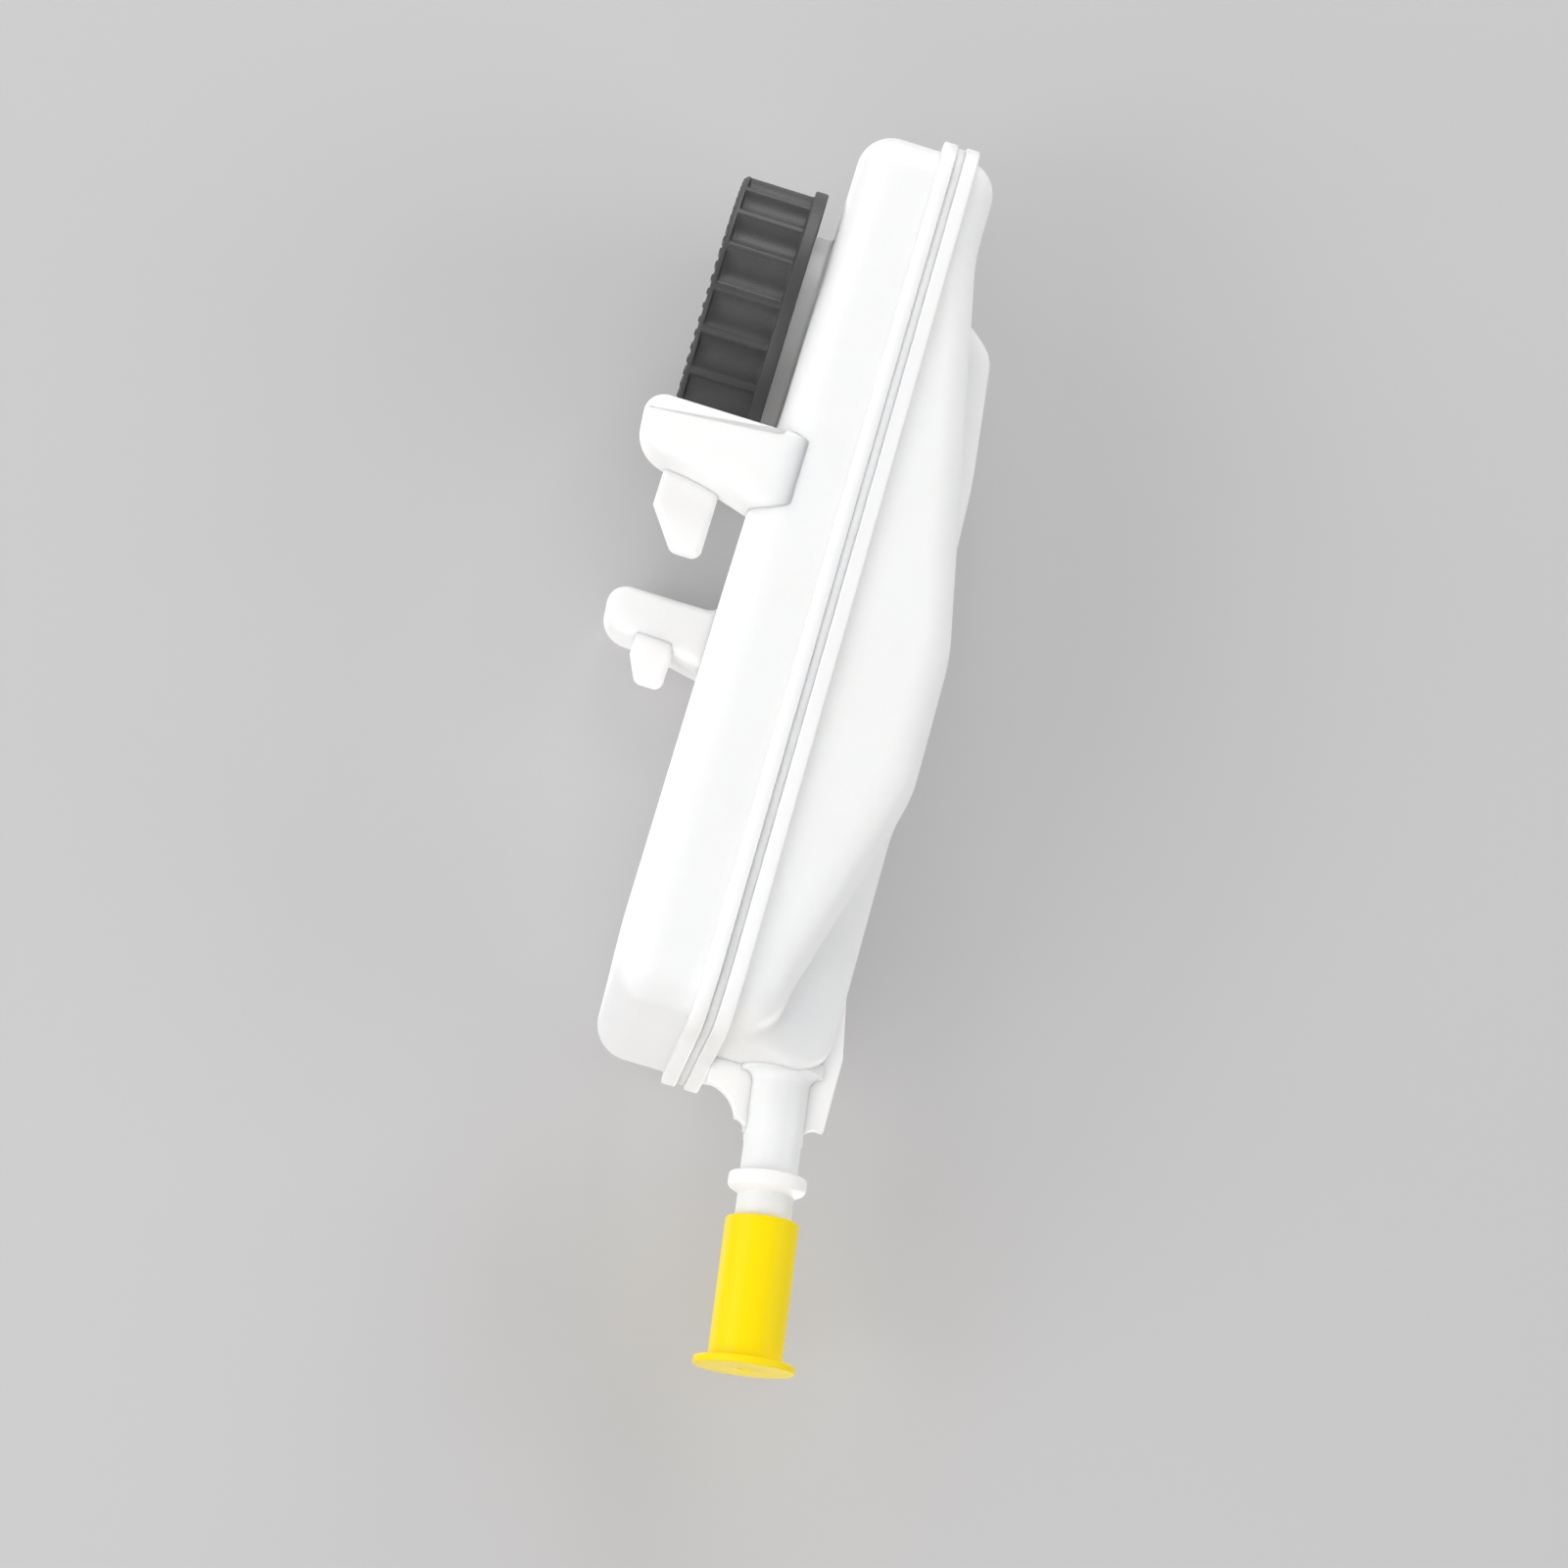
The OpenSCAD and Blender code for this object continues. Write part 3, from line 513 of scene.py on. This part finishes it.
def basin(inset, floor_steps):
    """Rings of the lower moulding at one inset from its outer face, from the lip's level down the wall,
    round the bottom edge and in to the middle line, each point at its own depth."""
    r = EDGE_R - inset
    rings = []
    for share in np.linspace(0, 1, EDGE_RINGS):
        flat = outline(inset + r * (1 - math.cos(share * math.pi / 2)))
        floor = depth(flat[:, 0], flat[:, 1]) - inset
        fallen = floor - r + r * math.sin(share * math.pi / 2)
        level = -np.maximum(fallen, (lip_top + UNDER_LIP) * (share < 1))
        rings.append(np.column_stack([flat, WELD_Z + level]))
    for step in np.linspace(EDGE_R, HALF_W, floor_steps)[1:]:
        flat = outline(step)
        rings.append(np.column_stack([flat, WELD_Z - depth(flat[:, 0], flat[:, 1]) + inset]))
    return rings


lower_lip = np.concatenate([
    [[0, 0], [0, -lip_base]],
    arc(LIP_OUT - ROUND, -lip_base - ROUND, ROUND, 90, 0, 3),
    arc(LIP_OUT - ROUND, -lip_top + ROUND, ROUND, 0, -90, 3),
    [[LIP_INNER, -lip_top]]])
lower_rings = basin(WALL, INNER_FLOOR)[::-1] + [tank_ring(WALL, WELD_Z)]
lower_rings += [tank_ring(-out, WELD_Z + z) for out, z in lower_lip] + basin(0, OUTER_FLOOR)
lower_tank = object_from("lower_tank", [grid(np.stack(lower_rings))])
dress(lower_tank, TANK_PLASTIC, "tank", "tank_plastic", "lower_shell")

# The spigot is moulded on the end wall: a tube with one rounded barb for the hose, tilted a little downwards.
# A thin web in the tank's middle plane stiffens its root and reaches from the lip to below the keel.
SPIGOT_Z = 16.3
TILT = math.radians(8)
ROOT_R = 5.4
ROOT_L = 12.6
BARE_R = 5.2
TIP_R = 5.1
BARB_R = 7.1
BARB_AT = 18.6
BARB_END = 22.0
SPIGOT_L = 49.0
BORE_R = 3.5
SPIGOT_IN = 4.5
ROOT_FLARE = 2.2
ROOT_STEP = 0.3
BARB_FOOT = 0.2
BARB_BACK = 0.5
BARB_NOSE = 1.1
BARB_NOSE_FROM = 1.6
BARB_ROOT = 0.4
TIP_EDGE = 0.4
BORE_CHAMFER = 0.2
SPIGOT_FOOT = np.array([SPIGOT_END, 0, WELD_Z - SPIGOT_Z])
SPIGOT_AXIS = np.array([-math.cos(TILT), 0, -math.sin(TILT)])


def turned(along, radius, steps, centre, axis):
    """A surface of revolution: centre + along * axis + radius * (cos a * side + sin a * across), with rows
    along the profile and columns round it, where radius may also differ from column to column."""
    side = np.array([0.0, 1.0, 0.0])
    across = np.cross(axis, side)
    a = np.linspace(0, 2 * math.pi, steps, endpoint=False)
    round_it = np.outer(np.cos(a), side) + np.outer(np.sin(a), across)
    along = np.broadcast_to(np.reshape(along, (len(along), -1)), (len(along), steps))
    radius = np.broadcast_to(np.reshape(radius, (len(radius), -1)), (len(radius), steps))
    return centre + along[..., None] * axis + radius[..., None] * round_it


spigot_profile = np.concatenate([
    [[-SPIGOT_IN, BORE_R], [-SPIGOT_IN, ROOT_R], [-ROOT_FLARE, ROOT_R + ROOT_FLARE]],
    arc(ROOT_FLARE, ROOT_R + ROOT_FLARE, ROOT_FLARE, 180, 270, 6),
    [[ROOT_L - ROOT_STEP, ROOT_R], [ROOT_L + ROOT_STEP, BARE_R], [BARB_AT - BARB_FOOT, BARE_R]],
    arc(BARB_AT + BARB_BACK, BARB_R - BARB_BACK, BARB_BACK, 160, 90, 5),
    arc(BARB_END - BARB_NOSE_FROM, BARB_R - BARB_NOSE, BARB_NOSE, 90, 15, 8),
    arc(BARB_END + BARB_ROOT, TIP_R + BARB_ROOT, BARB_ROOT, 210, 270, 4),
    arc(SPIGOT_L - TIP_EDGE, TIP_R - TIP_EDGE, TIP_EDGE, 90, 0, 3),
    [[SPIGOT_L, BORE_R + BORE_CHAMFER], [SPIGOT_L - BORE_CHAMFER, BORE_R]]])
spigot = object_from("hose_spigot", [grid(turned(
    spigot_profile[:, 0], spigot_profile[:, 1], 96, SPIGOT_FOOT, SPIGOT_AXIS), closed=True)])
dress(spigot, TANK_PLASTIC, "tank", "tank_plastic", "lower_shell")

WEB_T = 2.6
WEB_DEPTH = 26.3
WEB_BACK = 20.0
WEB_STEP = 6.0
WEB_OUT = 8.0
GUSSET_OUT = 9.9
BITE_R = 6.9
BITE_AT = 5.1
WEB_FILLET = 2.2
WEB_STUB = 0.25
WEB_EDGE = 0.25
WEB_RIM = 0.04


def web_side():
    """Side view of the web: under the keel, out past the end wall, round the tube's root with a fillet on
    each side, and up to the lip along a round bite."""
    half_tube = ROOT_R / math.cos(TILT)
    lip_z = WELD_Z - lip_top
    end = SPIGOT_END - WEB_OUT
    upper_end = SPIGOT_END - GUSSET_OUT
    below = WELD_Z - SPIGOT_Z - WEB_OUT * math.tan(TILT) - half_tube
    above = WELD_Z - SPIGOT_Z - GUSSET_OUT * math.tan(TILT) + half_tube
    bite_x = SPIGOT_END - BITE_AT - BITE_R
    bite_from = math.acos((upper_end - bite_x) / BITE_R)
    fillet = min(WEB_FILLET, lip_z - BITE_R * math.sin(bite_from) - above - WEB_STUB)
    inside = WALL / 2
    return np.concatenate([
        [[SPIGOT_END + WEB_BACK, WELD_Z - KEEL + inside], [SPIGOT_END + WEB_BACK, WELD_Z - KEEL],
         [SPIGOT_END + WEB_STEP, WELD_Z - WEB_DEPTH], [end, WELD_Z - WEB_DEPTH]],
        arc(end - WEB_FILLET, below - WEB_FILLET, WEB_FILLET, 0, 90, 8),
        arc(upper_end - fillet, above + fillet, fillet, 270, 360, 8),
        arc(bite_x, lip_z, BITE_R, 360 - math.degrees(bite_from), 360, 16),
        [[SPIGOT_END + inside, lip_z], [SPIGOT_END + inside, WELD_Z - KEEL + inside]]])


web = object_from("spigot_web", [prism(web_side(), -WEB_T / 2, WEB_T / 2, WEB_EDGE, rim=WEB_RIM)])
dress(web, TANK_PLASTIC, "tank", "tank_plastic", "lower_shell")

# Where the two mouldings were pressed together hot, a thin bead of their plastic was squeezed out between
# the lips. It is slightly rough, nearly level with the lips along the sides and lower at the two ends.
BEAD_OUT = 2.08
BEAD_SHY = 0.45
BEAD_HALF = 0.98
BEAD_END_RUN = 6.0
BEAD_ROOT = 0.4
BEAD_SQUARE = 0.2
BEAD_STEPS = 1400
REACH_ROUGH = 0.04
REACH_WAVES = (20, 320)
LIFT_ROUGH = 0.08
LIFT_WAVES = (12, 200)
SWELL_ROUGH = 0.05
SWELL_WAVES = (30, 400)
FLASH_SEED = 7


def walked(path, count):
    """A closed path as evenly spaced points: its corners are joined by straight lines, and each point lies
    at the same length of way from the last."""
    whole = np.vstack([path, path[:1]])
    way = np.concatenate([[0], np.cumsum(np.linalg.norm(np.diff(whole, axis=0), axis=1))])
    places = np.linspace(0, way[-1], count, endpoint=False)
    return np.stack([np.interp(places, way, whole[:, k]) for k in range(whole.shape[1])], 1)


def rough_ring(count, waves, seed):
    """Seeded roughness round a ring, from -1 to 1: a sum of sines of whole-numbered waves and random phase,
    each as high as one over the square root of its wave number."""
    draw = np.random.default_rng(seed)
    at = np.linspace(0, 2 * math.pi, count, endpoint=False)
    wave = draw.integers(waves[0], waves[1], 40)
    phase = draw.uniform(0, 2 * math.pi, 40)
    height = 1 / np.sqrt(wave)
    total = np.sum(height[:, None] * np.sin(wave[:, None] * at + phase[:, None]), axis=0)
    return total / np.max(np.abs(total))


lowest = walked(outline(0), BEAD_STEPS)
outwards = walked(outline(-BEAD_OUT), BEAD_STEPS) - lowest
outwards = outwards / np.linalg.norm(outwards, axis=1)[:, None]
reach = BEAD_OUT * (1 - REACH_ROUGH + REACH_ROUGH * rough_ring(BEAD_STEPS, REACH_WAVES, FLASH_SEED))
reach = reach - BEAD_SHY * ease(np.abs(lowest[:, 0] - MIDDLE_X), HALF_L - BEAD_END_RUN, HALF_L)
lift = LIFT_ROUGH * rough_ring(BEAD_STEPS, LIFT_WAVES, FLASH_SEED + 1)
swell = 1 - SWELL_ROUGH + SWELL_ROUGH * rough_ring(BEAD_STEPS, SWELL_WAVES, FLASH_SEED + 2)
bead_rings = []
for turn in np.radians(np.linspace(-90, 90, 9)):
    stand = math.cos(turn) ** BEAD_SQUARE * reach
    level = WELD_Z + BEAD_HALF * math.sin(turn) * swell + lift * math.cos(turn)
    bead_rings.append(np.column_stack([lowest + outwards * stand[:, None], level]))
for level in (BEAD_HALF, -BEAD_HALF):
    bead_rings.append(np.column_stack([lowest - outwards * BEAD_ROOT, np.full(BEAD_STEPS, WELD_Z + level)]))
FLASH_PLASTIC = plastic(
    "squeezed-out polypropylene", (0.89, 0.882, 0.87), (0.94, 0.937, 0.929), (0.35, 0.5),
    cloud=220, grain=1800, share=0.4, bump=0.4, **MILKY)
flash = object_from("weld_flash", [grid(np.stack(bead_rings), closed=True)])
dress(flash, FLASH_PLASTIC, "tank", "weld_flash", "weld_bead")

# Strainer basket in the neck, moulded in one piece and unseen until the cap is off.
STRAINER_PLASTIC = plastic(
    "strainer polypropylene", (0.80, 0.81, 0.80), (0.88, 0.89, 0.88), (0.4, 0.55),
    cloud=90, grain=1400, share=0.2, bump=0.2)
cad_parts["neck_strainer"].data.materials[0] = STRAINER_PLASTIC

# Rubber diaphragm: a flat ring clamped between the neck's mouth and the cap, with a folded bellows.
SEAL_RUBBER = plastic(
    "black seal rubber", (0.012, 0.012, 0.013), (0.03, 0.03, 0.031), (0.5, 0.7),
    cloud=140, grain=2400, share=0.5, bump=0.3)
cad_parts["cap_diaphragm"].data.materials[0] = SEAL_RUBBER

# Screw cap in black plastic: twenty wide flutes with narrow lands between a flange at the foot and a plain
# rim, short bars round the edge of its top, and the end of a thread inside.
cap_low, cap_high = (np.array(corner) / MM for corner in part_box("filler_cap"))
CAP_R = 27.0
FLANGE_R = cap_high[1]
FLANGE_T = 2.6
FLUTES = 20
FLUTE_DEPTH = 1.8
LAND_W = 1.1
RIM_H = 0.9
BARS = 60
BAR_H = 0.3
BAR_W = 1.1
BAR_L = 2.2
CAP_FOOT = cap_low[2]
CAP_TOP = cap_high[2] - BAR_H
CEILING = 1.5
CAP_BORE = 23.3
CAP_THREAD_H = 0.45
CAP_COLUMNS = 840
FLUTE_SOFT = 0.3
FLUTE_FROM = 1.0
FLUTE_TO = 0.5
BAR_SLOPE = 0.25
BAR_EDGE = 0.15
CAP_THREAD_HALF = 0.9
CAP_THREAD_SLOPE = 0.4
CAP_THREAD_FROM = -1.0
CAP_THREAD_FADE = 1.5
THREAD_ROWS = 64
CEILING_EDGE = 0.15
MOUTH_RISE = 0.6
BAR_IN = 0.5
BORE_CORNER = 0.5
MOUTH_CHAMFER = 0.4
FLANGE_FOOT = 0.4
FLANGE_EDGE = 0.35
TOP_EDGE = 0.45
cap_angles = np.linspace(0, 2 * math.pi, CAP_COLUMNS, endpoint=False)


def flute_notch(a):
    """How deep the flutes cut below the lands at an angle: a circle's arc about a centre outside the cap,
    kept above zero with a soft corner, (d + sqrt(d * d + k * k)) / 2."""
    pitch = 2 * math.pi / FLUTES
    off = (a % pitch) - pitch / 2
    half_chord = (CAP_R * pitch - LAND_W) / 2
    cutter = (half_chord ** 2 + FLUTE_DEPTH ** 2) / (2 * FLUTE_DEPTH)
    centre = CAP_R - FLUTE_DEPTH + cutter
    under = np.maximum(cutter ** 2 - (centre * np.sin(off)) ** 2, 0)
    d = CAP_R - centre * np.cos(off) + np.sqrt(under)
    d = np.where(under > 0, d, -LAND_W)
    return (d + np.sqrt(d * d + FLUTE_SOFT ** 2)) / 2


def bars(a):
    """Raised bars round the edge of the top: a row of flat-topped waves, one for each bar."""
    along = np.abs((a * BARS / (2 * math.pi)) % 1 - 0.5) * 2 * math.pi * CAP_R / BARS
    return np.clip((BAR_W / 2 - along) / BAR_SLOPE + 0.5, 0, 1)


def cap_thread(a, z):
    """Height of the thread inside the cap at an angle and height: a low ridge on the same helix."""
    turn = a / (2 * math.pi)
    k = np.round((z - THREAD_START) / THREAD_PITCH - turn - 0.5)
    away = np.abs(z - THREAD_START - THREAD_PITCH * (turn + k + 0.5))
    ridge = np.clip((CAP_THREAD_HALF - away) / CAP_THREAD_SLOPE, 0, 1)
    return CAP_THREAD_H * ridge * np.clip((CAP_THREAD_FROM - z) / CAP_THREAD_FADE, 0, 1)


flute_foot = CAP_FOOT + FLANGE_T
rim_z = CAP_TOP - RIM_H


def plain_rows(curve, cut=0):
    """Rows of the cap from a curve of radii and heights, as deep in the flutes as cut says."""
    return [(z, r, cut, 0, 0) for r, z in curve]


# Each row is a height, a radius, and its share of the flutes, the bars and the inner thread, from inside.
cap_rows = [(CEILING, 0, 0, 0, 0), (CEILING, CAP_BORE - BORE_CORNER, 0, 0, 0),
            (CEILING - CEILING_EDGE, CAP_BORE - CEILING_EDGE, 0, 0, 0)]
cap_rows += [(z, CAP_BORE, 0, 0, 1)
             for z in np.linspace(CEILING - BORE_CORNER, CAP_FOOT + MOUTH_RISE, THREAD_ROWS)]
cap_rows += [(CAP_FOOT, CAP_BORE + MOUTH_CHAMFER, 0, 0, 0)]
cap_rows += plain_rows(arc(FLANGE_R - FLANGE_FOOT, CAP_FOOT + FLANGE_FOOT, FLANGE_FOOT, 270, 360, 4))
cap_rows += plain_rows(arc(FLANGE_R - FLANGE_EDGE, flute_foot - FLANGE_EDGE, FLANGE_EDGE, 0, 90, 4))
cap_rows += plain_rows(arc(CAP_R + FLANGE_EDGE, flute_foot + FLANGE_EDGE, FLANGE_EDGE, 270, 180, 4), cut=1)
cap_rows += [(z, CAP_R, 1, 0, 0) for z in np.linspace(flute_foot + FLUTE_FROM, rim_z - FLUTE_TO, 6)]
cap_rows += [(rim_z + rise, CAP_R, share, 0, 0)
             for rise, share in ((-0.3, 0.92), (-0.15, 0.7), (-0.05, 0.3), (0, 0.05), (0.05, 0))]
cap_rows += plain_rows(arc(CAP_R - TOP_EDGE, CAP_TOP - TOP_EDGE, TOP_EDGE, 0, 90, 5))
bar_from = CAP_R - BAR_IN
cap_rows += [(CAP_TOP, bar_from, 0, 0.4, 0), (CAP_TOP, bar_from - BAR_EDGE, 0, 1, 0),
             (CAP_TOP, bar_from - BAR_L, 0, 1, 0), (CAP_TOP, bar_from - BAR_L - BAR_SLOPE, 0, 0, 0)]
cap_rows += [(CAP_TOP, r, 0, 0, 0) for r in (22, 16, 8, 0)]
cap_z, cap_r, cut, barred, threaded = np.array(cap_rows, dtype=float).T[..., None]
cap_radius = cap_r - cut * flute_notch(cap_angles) - threaded * cap_thread(cap_angles, cap_z)
cap_height = cap_z + barred * BAR_H * bars(cap_angles)
cap_points = np.stack([cap_radius * np.cos(cap_angles), cap_radius * np.sin(cap_angles), cap_height], -1)
CAP_PLASTIC = plastic(
    "black cap plastic", (0.040, 0.040, 0.042), (0.060, 0.059, 0.061), (0.38, 0.55),
    cloud=110, grain=2600, share=0.6, bump=0.12)
cap = object_from("screw_cap", [grid(cap_points)], crease=40)
dress(cap, CAP_PLASTIC, "cap", "cap_plastic", "filler_cap")

# Yellow transport plug: a soft closed sleeve slipped over the spigot's tip, with a flat flange to pull it by
# and the mark of the mould's gate in its end.
PLUG_R = 6.65
PLUG_FLANGE_R = 9.1
PLUG_FLANGE_T = 1.4
PLUG_AT = 26.7
PLUG_END = SPIGOT_L + 4.2
PLUG_BORE = 5.15
PLUG_END_WALL = 2.0
DIMPLE_R = 1.2
DIMPLE_DEPTH = 0.5
DIMPLE_EDGE = 0.2
DIMPLE_STEP = 0.1
PLUG_MOUTH_IN = 0.35
PLUG_MOUTH = 0.45
PLUG_FLANGE_ROOT = 0.3
PLUG_FLANGE_EDGE = 0.35
PLUG_BORE_EDGE = 0.4
plug_inner_end = PLUG_END - PLUG_END_WALL
plug_flange = PLUG_END - PLUG_FLANGE_T
plug_profile = np.concatenate([
    [[plug_inner_end, 0], [plug_inner_end, PLUG_BORE - PLUG_BORE_EDGE],
     [plug_inner_end - PLUG_BORE_EDGE, PLUG_BORE], [PLUG_AT + PLUG_BORE_EDGE, PLUG_BORE],
     [PLUG_AT, PLUG_BORE + PLUG_MOUTH_IN]],
    arc(PLUG_AT + PLUG_MOUTH, PLUG_R - PLUG_MOUTH, PLUG_MOUTH, 180, 90, 5),
    [[plug_flange - PLUG_FLANGE_ROOT, PLUG_R]],
    arc(plug_flange - PLUG_FLANGE_ROOT, PLUG_R + PLUG_FLANGE_ROOT, PLUG_FLANGE_ROOT, 270, 360, 4),
    arc(plug_flange + PLUG_FLANGE_EDGE, PLUG_FLANGE_R - PLUG_FLANGE_EDGE, PLUG_FLANGE_EDGE, 180, 90, 4),
    arc(PLUG_END - PLUG_FLANGE_EDGE, PLUG_FLANGE_R - PLUG_FLANGE_EDGE, PLUG_FLANGE_EDGE, 90, 0, 4),
    [[PLUG_END, DIMPLE_R + DIMPLE_EDGE], [PLUG_END - DIMPLE_STEP, DIMPLE_R],
     [PLUG_END - DIMPLE_DEPTH, DIMPLE_R - DIMPLE_EDGE], [PLUG_END - DIMPLE_DEPTH, 0]]])
PLUG_PLASTIC = plastic(
    "yellow plug plastic", (0.95, 0.71, 0.0), (1.0, 0.77, 0.0), (0.28, 0.36),
    cloud=70, grain=900, share=0.2, bump=0.15, specular_ior_level=0.2)
plug = object_from("yellow_plug", [grid(turned(
    plug_profile[:, 0], plug_profile[:, 1], 128, SPIGOT_FOOT, SPIGOT_AXIS))])
dress(plug, PLUG_PLASTIC, "plug", "plug_plastic", "outlet_plug")

# The studio: the tank lies with its far side on a grey board, which is seen through from behind and lets the
# light of the lamps behind it pass. Big soft lamps stand all round, most of them on the camera's side.
BOARD_GAP = 0.3
BOARD_HALF = 1400.0
BOARD_GREY = (0.552, 0.546, 0.551, 1)
board_y = HALF_W + LIP_OUT + BOARD_GAP
corners = np.array([[-1, 0, -1], [1, 0, -1], [1, 0, 1], [-1, 0, 1]]) * BOARD_HALF
corners += [MIDDLE_X, board_y, WELD_Z]
mesh = bpy.data.meshes.new("board")
mesh.from_pydata((corners * MM).tolist(), [], [[0, 1, 2, 3]])
board = bpy.data.objects.new("board", mesh)
bpy.context.scene.collection.objects.link(board)
board.visible_shadow = False
BOARD_PAINT = bpy.data.materials.new("grey board")
BOARD_PAINT.use_nodes = True
nodes, links = BOARD_PAINT.node_tree.nodes, BOARD_PAINT.node_tree.links
nodes["Principled BSDF"].inputs["Base Color"].default_value = BOARD_GREY
nodes["Principled BSDF"].inputs["Roughness"].default_value = 0.9
nodes["Principled BSDF"].inputs["Specular IOR Level"].default_value = 0.1
facing = nodes.new("ShaderNodeNewGeometry")
clear = nodes.new("ShaderNodeBsdfTransparent")
either = nodes.new("ShaderNodeMixShader")
links.new(facing.outputs["Backfacing"], either.inputs[0])
links.new(nodes["Principled BSDF"].outputs[0], either.inputs[1])
links.new(clear.outputs[0], either.inputs[2])
links.new(either.outputs[0], nodes["Material Output"].inputs["Surface"])
mesh.materials.append(BOARD_PAINT)

ROOM_LIGHT = 0.37
ROOM_SEEN = 0.62
ROOM = bpy.data.worlds.new("grey room")
ROOM.use_nodes = True
nodes, links = ROOM.node_tree.nodes, ROOM.node_tree.links
nodes["Background"].inputs["Color"].default_value = (ROOM_LIGHT, ROOM_LIGHT, ROOM_LIGHT, 1)
seen = nodes.new("ShaderNodeBackground")
seen.inputs["Color"].default_value = (ROOM_SEEN, ROOM_SEEN, ROOM_SEEN, 1)
ray = nodes.new("ShaderNodeLightPath")
either = nodes.new("ShaderNodeMixShader")
links.new(ray.outputs["Is Camera Ray"], either.inputs[0])
links.new(nodes["Background"].outputs[0], either.inputs[1])
links.new(seen.outputs[0], either.inputs[2])
links.new(either.outputs[0], nodes["World Output"].inputs["Surface"])
bpy.context.scene.world = ROOM

LAMP_AIM = np.array([-60.0, 0.0, -30.0])
LAMP_AWAY = 1400.0
LAMP_SIZE = 0.9
LAMPS = {"cap_end_lamp": ((1, -0.5, 0), 8.9),
         "spigot_end_lamp": ((-1, -0.5, 0), 2.6),
         "above_lamp": ((0, -0.5, 1), 3.2),
         "above_cap_lamp": ((0.7, -0.6, 0.7), 2.1),
         "above_spigot_lamp": ((-0.7, -0.6, 0.7), 7.9),
         "below_lamp": ((0, -0.5, -1), 4.7),
         "near_lamp": ((-0.33, -0.94, 0.04), 2.2),
         "far_above_lamp": ((0.5, 1, 0.6), 7.0),
         "far_below_lamp": ((-0.5, 1, -0.6), 7.0)}
for name, (toward, watts) in LAMPS.items():
    direction = Vector(toward).normalized()
    lamp = bpy.data.lights.new(name, "AREA")
    lamp.size = LAMP_SIZE
    lamp.energy = watts
    thing = bpy.data.objects.new(name, lamp)
    thing.location = (Vector(LAMP_AIM) + direction * LAMP_AWAY) * MM
    thing.rotation_euler = (-direction).to_track_quat("-Z", "Y").to_euler()
    bpy.context.scene.collection.objects.link(thing)

# The camera stands where the photograph was taken from, with the cap end up.
EYE = np.array([-273.653, -509.5, -13.967])
AIM = np.array([-90.854, 0.0, -36.9])
PICTURE_UP = np.array([0.90466, -0.31148, 0.29082])
LENS = 66.204
forward = (AIM - EYE) / np.linalg.norm(AIM - EYE)
right = np.cross(forward, PICTURE_UP)
right = right / np.linalg.norm(right)
turn = np.column_stack([right, np.cross(right, forward), -forward])
lens = bpy.data.cameras.new("camera")
lens.lens = LENS
lens.sensor_width = 36
lens.clip_start = 0.01
camera = bpy.data.objects.new("camera", lens)
camera.matrix_world = Matrix.Translation(EYE * MM) @ Matrix(turn.tolist()).to_4x4()
bpy.context.scene.collection.objects.link(camera)
bpy.context.scene.camera = camera
bpy.context.scene.view_settings.view_transform = "Standard"
